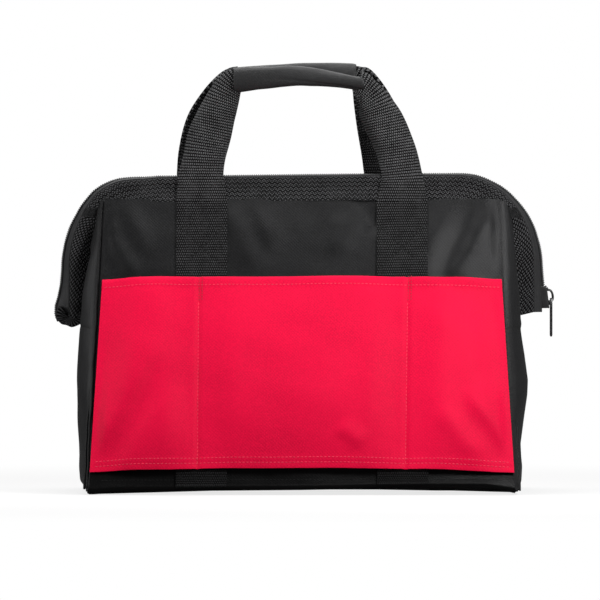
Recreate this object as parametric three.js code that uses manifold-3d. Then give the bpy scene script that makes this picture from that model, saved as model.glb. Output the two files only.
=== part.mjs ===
// A wide-mouth tool bag: four fabric walls on a stiff base, a hinged pair of steel mouth frames
// sewn into webbing, a zip that runs over the mouth and down both ends, and two strap handles.
// Millimetres. +X runs along the bag, the front faces -Y, +Z is up.
// The origin is the middle of the base's underside.
import * as THREE from 'three';
import { mergeVertices } from 'three/addons/utils/BufferGeometryUtils.js';
import Module from 'manifold-3d';

const wasm = await Module();
wasm.setup();

// Body of the bag
const baseLength = 316;
const baseDepth = 200;
const baseThickness = 3.2;
const baseCornerRadius = 9;
const baseOverhang = 2.4;
const boardThickness = 3;
const boardMargin = 8;
const mouthLength = 295;
const seamHeight = 219;
const seamHalfGap = 15;
const wallThickness = 2.4;
const wallHingeRise = 2.3;
const clearance = 0.3;

// Outside pocket
const pocketBottom = 10.8;
const pocketTop = 165.5;
const pocketThickness = 1.2;
const pocketBulge = 1.6;

// Handle webbing
const strapWidth = 38.1;
const strapThickness = 1.6;
const strapSpacing = 150;
const handleThickness = 2;
const handleTop = 319;
const gripLength = 97;
const gripHeight = 18.6;
const gripDepth = 13;
const gripCore = 12;

// Seam roll along each side edge
const weltDiameter = 3.6;

// Mouth: webbing folded over a steel wire
const bindingHeight = 18.2;
const bindingWidth = 7;
const bindingThickness = 1.4;
const bindingReach = 174.5;
const bindingCorner = 66.5;
const bindingEnd = 135;
const wireDiameter = 3;
const wireEndRise = 9;
const capLength = 11;
const capDiameter = 4;

// Zip
const zipRise = 1.5;
const zipStandOff = 6.5;
const zipRounding = 4.5;
const zipEndGap = 5.6;
const tapeThickness = 1;
const tapeGap = 0.2;
const tapeInset = 0.6;
const coilHeight = 2.6;
const coilWidth = 2.9;
const toothPitch = 4;
const toothDepth = 1.2;
const zipGap = 0.3;

// Slider and pull
const sliderLength = 17;
const sliderDrop = 3.6;
const sliderGap = 0.4;
const sliderWall = 0.9;
const sliderPlate = 1.4;
const sliderWidth = 9.2;
const bailReach = 5.5;
const bailWire = 1.8;
const pullLength = 29;
const pullWidth = 6;
const pullThickness = 1.2;
const pullSlot = 9;
const pullEye = 1.3;
const bailHalf = 5.2;
const bailBend = 2.4;
const wedgeHalf = 0.35;

// End panels
const gussetThickness = 2.4;
const gussetTop = 196;
const gussetBulge = 13;
const gussetTuck = 14;
const tuckStart = 22;
const tuckRun = 40;
const foldThickness = 1.2;
const foldReach = 0.42;
const foldBow = 2.5;
const foldMargin = 0.6;

// Sizes that follow
const seamRun = baseDepth / 2 - seamHalfGap;
const hingeHeight = baseThickness + wallHingeRise;
const wallHeight = Math.hypot(seamRun, seamHeight - hingeHeight);
const wallLean = Math.atan2(seamRun, seamHeight - hingeHeight);
const bindingTop = seamHeight + clearance + bindingHeight;
const bindingOuter = seamHalfGap - wallThickness / 2 / Math.cos(wallLean) - clearance - 0.2;
const bindingInner = bindingOuter - bindingWidth;
const zipTop = bindingTop + zipRise;
const zipReach = bindingReach + zipStandOff;
const zipCorner = bindingCorner + zipRounding;
const zipEnd = bindingEnd + zipEndGap;
const halfDiameter = weltDiameter / 2;
const sliderLow = zipEnd - sliderDrop;
const sliderHigh = sliderLow + sliderLength;
const sliderOut = zipReach + sliderGap;
const bailFoot = sliderOut + sliderPlate - clearance;
const bailMiddle = (sliderLow + sliderHigh) / 2 + 1;

const materials = {
  black: new THREE.MeshStandardMaterial({ color: 0x2b2b2c, roughness: 0.85, metalness: 0 }),
  red: new THREE.MeshStandardMaterial({ color: 0xe8173f, roughness: 0.85, metalness: 0 }),
  webbing: new THREE.MeshStandardMaterial({ color: 0x222224, roughness: 0.75, metalness: 0 }),
  grip: new THREE.MeshStandardMaterial({ color: 0x303032, roughness: 0.8, metalness: 0 }),
  coil: new THREE.MeshStandardMaterial({ color: 0x1b1b1c, roughness: 0.5, metalness: 0 }),
  metal: new THREE.MeshStandardMaterial({ color: 0x232325, roughness: 0.35, metalness: 0.6 }),
  steel: new THREE.MeshStandardMaterial({ color: 0x9a9da0, roughness: 0.35, metalness: 1 }),
  plastic: new THREE.MeshStandardMaterial({ color: 0x18181a, roughness: 0.6, metalness: 0 }),
};

// A closed body from a row of matching outlines; the ends are capped.
// section is the flat outline that says how a cap is cut into triangles.
function loft(rings, section) {
  const count = section.length;
  const positions = rings.flat().flatMap((p) => [p.x, p.y, p.z]);
  const faces = [];
  for (let i = 0; i + 1 < rings.length; i++) {
    for (let j = 0; j < count; j++) {
      const next = (j + 1) % count;
      const a = i * count + j;
      const b = i * count + next;
      const c = (i + 1) * count + next;
      const d = (i + 1) * count + j;
      faces.push([a, b, c], [a, c, d]);
    }
  }
  const flat = section.map(([u, v]) => new THREE.Vector2(u, v));
  const turn = Math.sign(THREE.ShapeUtils.area(flat));
  const last = (rings.length - 1) * count;
  for (const [a, b, c] of THREE.ShapeUtils.triangulateShape(flat, [])) {
    const area = THREE.ShapeUtils.area([flat[a], flat[b], flat[c]]);
    const [p, q] = Math.sign(area) === turn ? [b, c] : [c, b];
    faces.push([a, q, p], [last + a, last + p, last + q]);
  }
  return facedOut(positions, faces.flat());
}

// Turns every face round if the body came out inside out.
function facedOut(positions, index) {
  let volume = 0;
  const a = new THREE.Vector3();
  const b = new THREE.Vector3();
  const c = new THREE.Vector3();
  for (let i = 0; i < index.length; i += 3) {
    a.fromArray(positions, index[i] * 3);
    b.fromArray(positions, index[i + 1] * 3);
    c.fromArray(positions, index[i + 2] * 3);
    volume += a.dot(b.cross(c));
  }
  if (volume < 0) {
    index.reverse();
  }
  const geometry = new THREE.BufferGeometry();
  geometry.setAttribute('position', new THREE.Float32BufferAttribute(positions, 3));
  geometry.setIndex(index);
  geometry.computeVertexNormals();
  return geometry;
}

// A sheet between two surfaces that are both functions of u and v.
function sheet(us, vs, outer, inner) {
  const there = us.map((u) => [u, 0]);
  const back = [...us].reverse().map((u) => [u, 1]);
  const section = [...there, ...back];
  const rings = vs.map((v) => section.map(([u, side]) => (side === 0 ? outer(u, v) : inner(u, v))));
  return loft(rings, section);
}

function steps(from, to, count) {
  return Array.from({ length: count + 1 }, (_, i) => from + ((to - from) * i) / count);
}

function polygon(radius, sides) {
  return steps(0, sides - 1, sides - 1).map((i) => {
    const angle = ((i + 0.5) / sides) * Math.PI * 2;
    return [radius * Math.cos(angle), radius * Math.sin(angle)];
  });
}

function toManifold(geometry) {
  const bare = geometry.clone();
  bare.deleteAttribute('normal');
  bare.deleteAttribute('uv');
  const merged = mergeVertices(bare, 1e-4);
  return new wasm.Manifold(
    new wasm.Mesh({
      numProp: 3,
      vertProperties: new Float32Array(merged.attributes.position.array),
      triVerts: new Uint32Array(merged.index.array),
    }),
  );
}

function fromManifold(manifold) {
  const mesh = manifold.getMesh();
  const geometry = new THREE.BufferGeometry();
  geometry.setAttribute('position', new THREE.BufferAttribute(mesh.vertProperties, 3));
  geometry.setIndex(new THREE.BufferAttribute(mesh.triVerts, 1));
  geometry.computeVertexNormals();
  return geometry;
}

function box(x0, x1, y0, y1, z0, z1) {
  const geometry = new THREE.BoxGeometry(x1 - x0, y1 - y0, z1 - z0);
  return geometry.translate((x0 + x1) / 2, (y0 + y1) / 2, (z0 + z1) / 2);
}

function piece(parent, name, geometry, material) {
  const mesh = new THREE.Mesh(geometry, material);
  mesh.name = name;
  parent.add(mesh);
  return mesh;
}

function roundedRectangle(halfX, halfY, radius) {
  const shape = new THREE.Shape();
  shape.moveTo(-halfX + radius, -halfY);
  shape.lineTo(halfX - radius, -halfY);
  shape.absarc(halfX - radius, -halfY + radius, radius, -Math.PI / 2, 0);
  shape.lineTo(halfX, halfY - radius);
  shape.absarc(halfX - radius, halfY - radius, radius, 0, Math.PI / 2);
  shape.lineTo(-halfX + radius, halfY);
  shape.absarc(-halfX + radius, halfY - radius, radius, Math.PI / 2, Math.PI);
  shape.lineTo(-halfX, -halfY + radius);
  shape.absarc(-halfX + radius, -halfY + radius, radius, Math.PI, Math.PI * 1.5);
  return shape;
}

function slab(halfX, halfY, radius, z0, thickness) {
  const options = { depth: thickness, bevelEnabled: false, curveSegments: 4 };
  const geometry = new THREE.ExtrudeGeometry(roundedRectangle(halfX, halfY, radius), options);
  return geometry.translate(0, 0, z0);
}

// Half the bag's length at a height: the long walls narrow from the base to the mouth.
function sideEdge(z) {
  return baseLength / 2 - ((baseLength - mouthLength) / 2) * (z / seamHeight);
}

// Distance of the wall's middle plane from the bag's middle at a height.
function wallPlane(z) {
  return baseDepth / 2 - (z - hingeHeight) * Math.tan(wallLean);
}

// One long wall, modelled upright with its lower hinge at the origin and its outside facing -Y.
function longWall(side) {
  const wall = new THREE.Group();
  const left = side.left;
  const right = side.right;
  const bottomHalf = baseLength / 2;
  const topHalf = mouthLength / 2;
  const start = 1;
  const end = wallHeight - 0.8;
  const edge = (v) => bottomHalf + ((topHalf - bottomHalf) * v) / wallHeight;

  const outline = new THREE.Shape();
  outline.moveTo(-edge(start), start);
  outline.lineTo(edge(start), start);
  outline.lineTo(edge(end), end);
  outline.lineTo(-edge(end), end);
  const panel = new THREE.ExtrudeGeometry(outline, { depth: wallThickness, bevelEnabled: false });
  panel.rotateX(Math.PI / 2);
  panel.translate(0, wallThickness / 2, 0);
  piece(wall, `${side.name}_wall_panel`, panel, materials.black);

  // Handle webbing sewn flat on the wall, from the bottom seam to the mouth.
  const strapFace = wallThickness / 2 + clearance;
  const strapTop = wallHeight - 4;
  for (const sign of [-1, 1]) {
    const middle = (sign * strapSpacing) / 2;
    const x0 = middle - strapWidth / 2;
    const x1 = middle + strapWidth / 2;
    const strap = box(x0, x1, -strapFace - strapThickness, -strapFace, start, strapTop);
    piece(wall, `${side.name}_strap_${sign < 0 ? left : right}`, strap, materials.webbing);
  }

  // Seam roll where the wall meets the end panel.
  const roll = polygon(halfDiameter, 8);
  for (const sign of [-1, 1]) {
    const rings = [start + 1.5, end - 1].map((v) =>
      roll.map(([u, w]) => {
        const x = sign * (edge(v) + clearance + halfDiameter) + u;
        return new THREE.Vector3(x, w, v);
      }),
    );
    const welt = loft(rings, roll);
    piece(wall, `${side.name}_side_welt_${sign < 0 ? left : right}`, welt, materials.black);
  }

  // Pocket panel: sewn down over both straps, so it stands off by their thickness there
  // and swells a little between the rows of stitches.
  const overStrap = strapFace + strapThickness + clearance;
  const strapOut = (strapSpacing + strapWidth) / 2 + 2;
  const strapIn = (strapSpacing - strapWidth) / 2 - 2;
  const standOff = (u, v) => {
    const share = (v - pocketBottom) / (pocketTop - pocketBottom);
    const x = Math.abs(u * edge(v));
    const swell = pocketBulge * (0.25 + 0.75 * share);
    if (x > strapOut) {
      const t = (x - strapOut) / (edge(v) - strapOut);
      return overStrap + (strapFace - overStrap) * t + swell * Math.sin(Math.PI * Math.sqrt(t));
    }
    if (x > strapIn) {
      return overStrap;
    }
    return overStrap + swell * Math.cos((Math.PI / 2) * (x / strapIn));
  };
  const us = [
    -1, -0.93, -0.84, -0.73, -strapOut / bottomHalf, -strapIn / bottomHalf, -0.2, 0,
    0.2, strapIn / bottomHalf, strapOut / bottomHalf, 0.73, 0.84, 0.93, 1,
  ];
  const outer = (u, v) => new THREE.Vector3(u * edge(v), -standOff(u, v) - pocketThickness, v);
  const inner = (u, v) => new THREE.Vector3(u * edge(v), -standOff(u, v), v);
  const pocket = sheet(us, steps(pocketBottom, pocketTop, 4), outer, inner);
  piece(wall, `${side.name}_pocket_panel`, pocket, materials.red);

  wall.rotation.x = -wallLean;
  wall.position.set(0, -baseDepth / 2, hingeHeight);
  return wall;
}

// A hoop path in the XZ plane: up one leg, round a corner, along the top and down again.
// Each stop has its place and the direction that points out of the hoop.
function hoop(reach, corner, top, end, arcSteps) {
  const centreX = reach - corner;
  const centreZ = top - corner;
  const stops = [];
  const add = (sign, angle, z) => {
    const nx = sign * Math.cos(angle);
    const nz = Math.sin(angle);
    stops.push({ x: sign * centreX + corner * nx, z: z ?? centreZ + corner * nz, nx, nz });
  };
  add(-1, 0, end);
  steps(0, Math.PI / 2, arcSteps).forEach((angle) => add(-1, angle));
  steps(Math.PI / 2, 0, arcSteps).forEach((angle) => add(1, angle));
  add(1, 0, end);
  return stops;
}

function at(stop, out, y) {
  return new THREE.Vector3(stop.x + stop.nx * out, y, stop.z + stop.nz * out);
}

function sweep(stops, section) {
  return loft(stops.map((stop) => section.map(([out, y]) => at(stop, out, y))), section);
}

// Place along the zip's edge line, measured from the left end.
function zipStop(distance) {
  const leg = zipTop - zipCorner - zipEnd;
  const arc = (Math.PI / 2) * zipCorner;
  const centreX = zipReach - zipCorner;
  const centreZ = zipTop - zipCorner;
  const total = 2 * (leg + arc + centreX);
  const mirrored = distance > total / 2;
  const along = mirrored ? total - distance : distance;
  const sign = mirrored ? 1 : -1;
  if (along < leg) {
    return { x: sign * zipReach, z: zipEnd + along, nx: sign, nz: 0 };
  }
  if (along < leg + arc) {
    const angle = (along - leg) / zipCorner;
    const nx = sign * Math.cos(angle);
    const nz = Math.sin(angle);
    return { x: sign * centreX + zipCorner * nx, z: centreZ + zipCorner * nz, nx, nz };
  }
  return { x: sign * (centreX - (along - leg - arc)), z: zipTop, nx: 0, nz: 1 };
}

function zipLength() {
  return 2 * (zipTop - zipCorner - zipEnd + (Math.PI / 2) * zipCorner + zipReach - zipCorner);
}

// Row of coil teeth: a bar whose inner edge runs in and out once a pitch.
// The other row is half a pitch along, so each tooth faces a gap.
function coilTeeth(shift) {
  const rings = [];
  const count = 2 * Math.floor((zipLength() - toothPitch) / toothPitch);
  const start = (zipLength() - (count * toothPitch) / 2) / 2;
  const back = -coilWidth - zipGap;
  let section;
  for (let i = 0; i <= count; i++) {
    const peak = (i + shift) % 2 === 0;
    const edge = peak ? -zipGap + toothDepth / 2 : -zipGap - toothDepth / 2;
    section = [[-coilHeight, back], [0, back], [0, edge], [-coilHeight, edge]];
    const stop = zipStop(start + (i * toothPitch) / 2);
    rings.push(section.map(([out, y]) => at(stop, out, y)));
  }
  return loft(rings, section);
}

// One mouth frame with everything sewn to it, modelled closed, its outside facing -Y.
function mouthFrame(side) {
  const frame = new THREE.Group();
  const arcSteps = 8;
  const bindingStops = hoop(bindingReach, bindingCorner, bindingTop, bindingEnd, arcSteps);
  const zipStops = hoop(zipReach, zipCorner, zipTop, zipEnd, arcSteps);

  const outer = -bindingOuter;
  const inner = -bindingInner;
  const wall = bindingThickness;
  const channel = [
    [0, outer], [0, inner], [-bindingHeight, inner], [-bindingHeight, inner - wall],
    [-wall, inner - wall], [-wall, outer + wall], [-bindingHeight, outer + wall], [-bindingHeight, outer],
  ];
  piece(frame, `${side.name}_mouth_binding`, sweep(bindingStops, channel), materials.webbing);

  const middle = (outer + inner) / 2;
  const wireOut = -wall - clearance - capDiameter / 2;
  const round = polygon(wireDiameter / 2, 8);
  const wireSection = round.map(([u, w]) => [wireOut + u, middle + w]);
  const wireEnd = bindingEnd + wireEndRise;
  const wireStops = hoop(bindingReach, bindingCorner, bindingTop, wireEnd, arcSteps);
  piece(frame, `${side.name}_frame_wire`, sweep(wireStops, wireSection), materials.steel);

  // Plastic cap over each wire end, so that it can't wear through the webbing.
  const bore = wireDiameter / 2 + clearance / 2;
  const capFloor = 2;
  const capProfile = [
    [0, -capFloor], [capDiameter / 2, -capFloor], [capDiameter / 2, capLength - capFloor],
    [bore, capLength - capFloor], [bore, -clearance], [0, -clearance],
  ].map(([r, h]) => new THREE.Vector2(r, h));
  for (const sign of [-1, 1]) {
    const cap = new THREE.LatheGeometry(capProfile, 12);
    cap.rotateX(Math.PI / 2);
    const solid = fromManifold(toManifold(facedOut([...cap.attributes.position.array], [...cap.index.array])));
    solid.translate(sign * (bindingReach + wireOut), middle, wireEnd);
    piece(frame, `${side.name}_wire_cap_${sign < 0 ? side.left : side.right}`, solid, materials.plastic);
  }

  // Zip tape: lies on the folded edge of the binding and dips to carry the coil.
  const tapeTop = -coilHeight - tapeGap;
  const tapeUnder = tapeTop - tapeThickness;
  const tapeEdge = -zipGap - 0.4;
  const tapeSection = [
    ['binding', clearance, -bindingOuter + tapeInset],
    ['binding', clearance, -bindingInner + 0.3],
    ['zip', tapeUnder, -coilWidth - 0.9],
    ['zip', tapeUnder, tapeEdge],
    ['zip', tapeTop, tapeEdge],
    ['zip', tapeTop, -coilWidth - 1.3],
    ['binding', clearance + tapeThickness, -bindingInner - 0.4],
    ['binding', clearance + tapeThickness, -bindingOuter + tapeInset],
  ];
  const tapeBinding = hoop(bindingReach, bindingCorner, bindingTop, zipEnd, arcSteps);
  const tapeRings = tapeBinding.map((stop, i) =>
    tapeSection.map(([path, out, y]) => at(path === 'zip' ? zipStops[i] : stop, out, y)),
  );
  const last = tapeRings.length - 1;
  const tapeFlat = tapeRings[last].map((p) => [p.x, p.y]);
  piece(frame, `${side.name}_zip_tape`, loft(tapeRings, tapeFlat), materials.black);

  piece(frame, `${side.name}_zip_teeth`, coilTeeth(side.toothShift), materials.coil);

  // Fold of the end panel that joins the wall's side edge to the frame's leg.
  for (const sign of [-1, 1]) {
    const fold = sheet(
      steps(0, 1, 4),
      steps(bindingEnd - 6, seamHeight - 12, 5),
      (u, z) => foldPoint(sign, u, z, foldThickness),
      (u, z) => foldPoint(sign, u, z, 0),
    );
    piece(frame, `${side.name}_end_fold_${sign < 0 ? side.left : side.right}`, fold, materials.black);
  }
  return frame;
}

// A point of the fold: u runs from the wall's side edge to the frame, bowed towards the bag.
function foldPoint(sign, u, z, out) {
  const fromX = sideEdge(z) + weltDiameter + foldMargin;
  const fromY = endDepth(z);
  const toX = sideEdge(z) + (bindingReach - sideEdge(z)) * foldReach;
  const toY = bindingOuter + foldMargin;
  const bow = foldBow * Math.sin(Math.PI * u);
  const x = fromX + (toX - fromX) * u - bow + out;
  const y = fromY + (toY - fromY) * u;
  return new THREE.Vector3(sign * x, -y, z);
}

// Half the depth of the end panel at a height, clear of the seam rolls.
function endDepth(z) {
  return wallPlane(z) - halfDiameter / Math.cos(wallLean) - clearance - 0.1;
}

// How far the end panel stands out of the line of its edges: it swells low down, where the
// folded fabric pushes out, and tucks in between the legs of the frame above them.
function endSwell(across, z) {
  const middle = 1 - across * across;
  const low = gussetBulge * Math.sin(Math.PI * Math.min(z / (bindingEnd - 4), 1)) ** 0.8;
  const high = Math.max((z - bindingEnd + tuckStart) / tuckRun, 0);
  return middle * (low - gussetTuck * Math.min(high, 1));
}

// The right end panel; the left one is the same, turned round.
function endPanel() {
  const bottom = baseThickness + clearance;
  const point = (u, z, inward) => {
    const x = sideEdge(z) + halfDiameter + endSwell(u, z) - inward;
    return new THREE.Vector3(x, u * endDepth(z), z);
  };
  const swell = steps(0.16, 0.76, 4).map((share) => share * bindingEnd);
  const tuckTop = bindingEnd - tuckStart + tuckRun;
  return sheet(
    [-1, -0.72, -0.38, 0, 0.38, 0.72, 1],
    [bottom, ...swell, bindingEnd - tuckStart + 6, bindingEnd + 2, tuckTop, gussetTop],
    (u, z) => point(u, z, 0),
    (u, z) => point(u, z, gussetThickness),
  );
}

// Handle loop, seen from the front: webbing that narrows as it folds into the grip.
function handleLoop(side) {
  const base = seamHeight + 1.3;
  const gripBottom = handleTop - gripHeight;
  const coreTop = handleTop - (gripHeight - gripCore) / 2;
  const coreBottom = coreTop - gripCore;
  const half = strapSpacing / 2;
  const outEdge = half + strapWidth / 2;
  const inEdge = half - strapWidth / 2;
  const gripEnd = gripLength / 2;
  const rise = gripBottom - base;
  const levels = [
    { z: base, out: outEdge, in: inEdge },
    { z: base + rise * 0.25, out: outEdge - 1.5, in: inEdge + 1 },
    { z: base + rise * 0.52, out: outEdge - 8, in: inEdge },
    { z: base + rise * 0.8, out: outEdge - 19, in: gripEnd + 5 },
    { z: gripBottom + 2, out: gripEnd + 15, in: gripEnd + 4 },
    { z: coreBottom, out: gripEnd + 13, in: gripEnd + 2.5 },
    { z: coreTop, out: gripEnd + 5, in: gripEnd + 2.5 },
  ];
  const shape = new THREE.Shape();
  const leftOut = levels.map((level, i) => [-level.out + side.leanLeft[i], level.z]);
  const rightOut = levels.map((level, i) => [level.out + side.leanRight[i], level.z]).reverse();
  const rightIn = levels.slice(0, 6).map((level, i) => [level.in + side.leanRight[i], level.z]);
  const leftIn = levels.slice(0, 6).map((level, i) => [-level.in + side.leanLeft[i], level.z]).reverse();
  const points = [...leftOut, ...rightOut, ...rightIn, ...leftIn];
  points.forEach(([x, z], i) => (i === 0 ? shape.moveTo(x, z) : shape.lineTo(x, z)));
  const loop = new THREE.ExtrudeGeometry(shape, { depth: handleThickness, bevelEnabled: false });
  loop.rotateX(Math.PI / 2);
  return loop.translate(0, -bindingOuter - clearance, 0);
}

// Padded sleeve round the folded webbing.
function gripSleeve(side) {
  const middleZ = handleTop - gripHeight / 2;
  const middleY = -bindingOuter - clearance - handleThickness / 2;
  const outline = roundedRectangle(gripDepth / 2, gripHeight / 2, gripDepth / 2 - 0.8);
  const halfSlotY = handleThickness / 2 + clearance;
  const halfSlotZ = gripCore / 2 + clearance;
  const slot = new THREE.Path();
  slot.moveTo(-halfSlotY, -halfSlotZ);
  slot.lineTo(-halfSlotY, halfSlotZ);
  slot.lineTo(halfSlotY, halfSlotZ);
  slot.lineTo(halfSlotY, -halfSlotZ);
  outline.holes.push(slot);
  const options = { depth: gripLength, bevelEnabled: false, curveSegments: 5 };
  const sleeve = new THREE.ExtrudeGeometry(outline, options);
  sleeve.translate(0, 0, -gripLength / 2);
  sleeve.rotateY(Math.PI / 2);
  sleeve.rotateX(Math.PI / 2);
  return sleeve.translate(side.gripShift, middleY, middleZ);
}

// Zip slider on the right leg: two plates joined by the wedge that parts the teeth, with
// lips that hold the coils and a bail for the pull.
function sliderBody() {
  const half = sliderWidth / 2;
  const coilBack = zipReach - coilHeight;
  const insideTop = coilBack - tapeGap - tapeThickness - sliderGap;
  const halfInner = coilWidth + zipGap + 0.1;
  const overlap = 0.5;
  const plate = box(sliderOut, sliderOut + sliderPlate, -half, half, sliderLow, sliderHigh);
  const innerPlate = box(insideTop - sliderPlate, insideTop, -halfInner, halfInner, sliderLow, sliderHigh);
  const wedgeTop = zipEnd - 0.7;
  const wedge = box(insideTop - overlap, sliderOut + overlap, -wedgeHalf, wedgeHalf, sliderLow, wedgeTop);
  let slider = toManifold(plate).add(toManifold(innerPlate)).add(toManifold(wedge));
  for (const sign of [-1, 1]) {
    const y = sign * (half - sliderWall / 2);
    const y0 = y - sliderWall / 2;
    const lip = box(coilBack + sliderGap, sliderOut + overlap, y0, y0 + sliderWall, sliderLow, sliderHigh);
    slider = slider.add(toManifold(lip));
  }
  const bendX = bailFoot + bailReach - bailBend;
  const barLow = bailMiddle - bailHalf;
  const barHigh = bailMiddle + bailHalf;
  const bail = new THREE.Shape();
  bail.moveTo(bailFoot, barLow);
  bail.lineTo(bendX, barLow);
  bail.absarc(bendX, barLow + bailBend, bailBend, -Math.PI / 2, 0);
  bail.lineTo(bailFoot + bailReach, barHigh - bailBend);
  bail.absarc(bendX, barHigh - bailBend, bailBend, 0, Math.PI / 2);
  bail.lineTo(bailFoot, barHigh);
  const gap = new THREE.Path();
  const gapIn = bailFoot + bailWire / 2;
  const gapOut = bailFoot + bailReach - bailWire;
  gap.moveTo(gapIn, barLow + bailWire);
  gap.lineTo(gapIn, barHigh - bailWire);
  gap.lineTo(gapOut, barHigh - bailWire);
  gap.lineTo(gapOut, barLow + bailWire);
  bail.holes.push(gap);
  const hoopBody = new THREE.ExtrudeGeometry(bail, { depth: bailWire, bevelEnabled: false, curveSegments: 4 });
  hoopBody.rotateX(Math.PI / 2);
  hoopBody.translate(0, bailWire / 2, 0);
  return fromManifold(slider.add(toManifold(hoopBody)));
}

// Pull tab that hangs on the lower bar of the bail.
function pullTab() {
  const bailBar = bailMiddle - bailHalf + bailWire;
  const x = bailFoot + (bailReach - bailWire / 2) / 2;
  const top = bailBar + clearance + pullEye;
  const half = pullWidth / 2;
  const round = 2;
  const roundZ = top - pullLength + round;
  const outline = new THREE.Shape();
  outline.moveTo(-half, roundZ);
  outline.absarc(-half + round, roundZ, round, Math.PI, Math.PI * 1.5);
  outline.absarc(half - round, roundZ, round, Math.PI * 1.5, Math.PI * 2);
  outline.lineTo(half * 0.8, top - 1);
  outline.lineTo(half * 0.5, top);
  outline.lineTo(-half * 0.5, top);
  outline.lineTo(-half * 0.8, top - 1);
  const slot = new THREE.Path();
  const halfSlot = bailWire / 2 + 0.45;
  const slotTop = top - pullEye;
  slot.moveTo(-halfSlot, slotTop - pullSlot);
  slot.lineTo(-halfSlot, slotTop);
  slot.lineTo(halfSlot, slotTop);
  slot.lineTo(halfSlot, slotTop - pullSlot);
  outline.holes.push(slot);
  const options = { depth: pullThickness, bevelEnabled: false, curveSegments: 4 };
  const tab = new THREE.ExtrudeGeometry(outline, options);
  tab.rotateX(Math.PI / 2);
  tab.rotateZ(Math.PI / 2);
  return tab.translate(x - pullThickness / 2, 0, 0);
}

const front = {
  name: 'front',
  left: 'left',
  right: 'right',
  toothShift: 0,
  gripShift: -1,
  leanLeft: [0, 0, 0, 0, 0, 0, 0],
  leanRight: [0, 0, 0, 0, 0, 0, 0],
};

// The rear half is the front half turned round, so its own left is the bag's right.
// Its handle leans towards the bag's left.
const rear = {
  name: 'rear',
  left: 'right',
  right: 'left',
  toothShift: 1,
  gripShift: 6,
  leanLeft: [4, 11, 10, 8, 7, 6, 6],
  leanRight: [0, 0, 1, 3, 5, 6, 6],
};

const bag = new THREE.Group();
bag.name = 'tool_bag';

const halfBase = baseLength / 2 + baseOverhang;
const halfDepth = baseDepth / 2;
const panel = slab(halfBase, halfDepth, baseCornerRadius, 0, baseThickness);
piece(bag, 'base_panel', panel, materials.black);
const board = slab(
  baseLength / 2 - boardMargin,
  halfDepth - boardMargin,
  baseCornerRadius,
  baseThickness + clearance,
  boardThickness,
);
piece(bag, 'base_board', board, materials.plastic);
piece(bag, 'end_panel_left', endPanel().rotateZ(Math.PI), materials.black);
piece(bag, 'end_panel_right', endPanel(), materials.black);

for (const side of [front, rear]) {
  const half = new THREE.Group();
  half.add(longWall(side));
  half.add(mouthFrame(side));
  piece(half, `${side.name}_handle_strap`, handleLoop(side), materials.webbing);
  piece(half, `${side.name}_handle_grip`, gripSleeve(side), materials.grip);
  if (side === rear) {
    half.rotation.z = Math.PI;
  }
  bag.add(half);
}

piece(bag, 'zip_slider', sliderBody(), materials.metal);
piece(bag, 'zip_pull_tab', pullTab(), materials.metal);

export default bag;
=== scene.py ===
"""Looks of the tool bag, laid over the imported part.

Every cloth piece is a numpy grid that follows the part's own sizes. Lengths are millimetres until
a mesh is made, +X is the bag's length, the front faces -Y and +Z is up. The rear half is the front
half turned round, so each side is written once, facing -Y, and turned as it is made. A place on a
wall is x along it, v up it from its hinge at the base, and out from its middle plane.
"""

import math

import bpy
import numpy as np
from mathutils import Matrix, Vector


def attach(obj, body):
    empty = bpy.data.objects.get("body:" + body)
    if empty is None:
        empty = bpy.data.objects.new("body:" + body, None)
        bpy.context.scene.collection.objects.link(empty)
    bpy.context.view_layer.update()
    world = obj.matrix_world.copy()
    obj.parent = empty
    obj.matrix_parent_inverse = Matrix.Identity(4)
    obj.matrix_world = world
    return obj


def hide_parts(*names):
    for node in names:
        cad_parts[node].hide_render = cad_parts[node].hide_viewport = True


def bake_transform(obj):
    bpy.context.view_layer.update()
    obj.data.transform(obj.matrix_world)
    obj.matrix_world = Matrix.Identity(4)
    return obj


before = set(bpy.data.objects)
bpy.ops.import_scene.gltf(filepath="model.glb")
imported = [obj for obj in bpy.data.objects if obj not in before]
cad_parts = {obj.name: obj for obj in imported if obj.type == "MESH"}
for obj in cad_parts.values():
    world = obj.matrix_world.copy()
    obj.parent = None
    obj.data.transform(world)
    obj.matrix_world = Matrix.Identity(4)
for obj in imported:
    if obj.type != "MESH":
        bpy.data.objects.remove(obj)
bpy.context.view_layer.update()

# Body and pocket
BASE_HALF = 158.0
BASE_DEPTH = 200.0
BASE_RADIUS = 9.0
BASE_OVERHANG = 2.4
MOUTH_HALF = 147.5
SEAM_Z = 219.0
SEAM_Y = 15.0
HINGE_Z = 5.5
LEAN = math.atan2(BASE_DEPTH / 2 - SEAM_Y, SEAM_Z - HINGE_Z)
WALL_HEIGHT = math.hypot(BASE_DEPTH / 2 - SEAM_Y, SEAM_Z - HINGE_Z)
WALL_FACE = 1.2
POCKET_LOW = 10.8
POCKET_HIGH = 165.5
POCKET_THICKNESS = 1.3

# Webbing on the wall, and the box of stitches that holds it under the mouth
STRAP_WIDTH = 38.1
STRAP_MIDDLE = 75.0
STRAP_RISE = 1.9
BOX_LOW = 171.6
BOX_HIGH = 206.4
BOX_HALF = 16.6

# Webbing folded over the mouth frame: its line of stitches and its hem, from the fold
BINDING_REACH = 174.5
BINDING_CORNER = 66.5
BINDING_TOP = 237.5
BINDING_OUT = 13.21
BINDING_IN = 6.21
BINDING_STITCHES = 16.6
BINDING_SKIRT = 18.6
BINDING_FEET = (129.0, 130.0)

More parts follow.
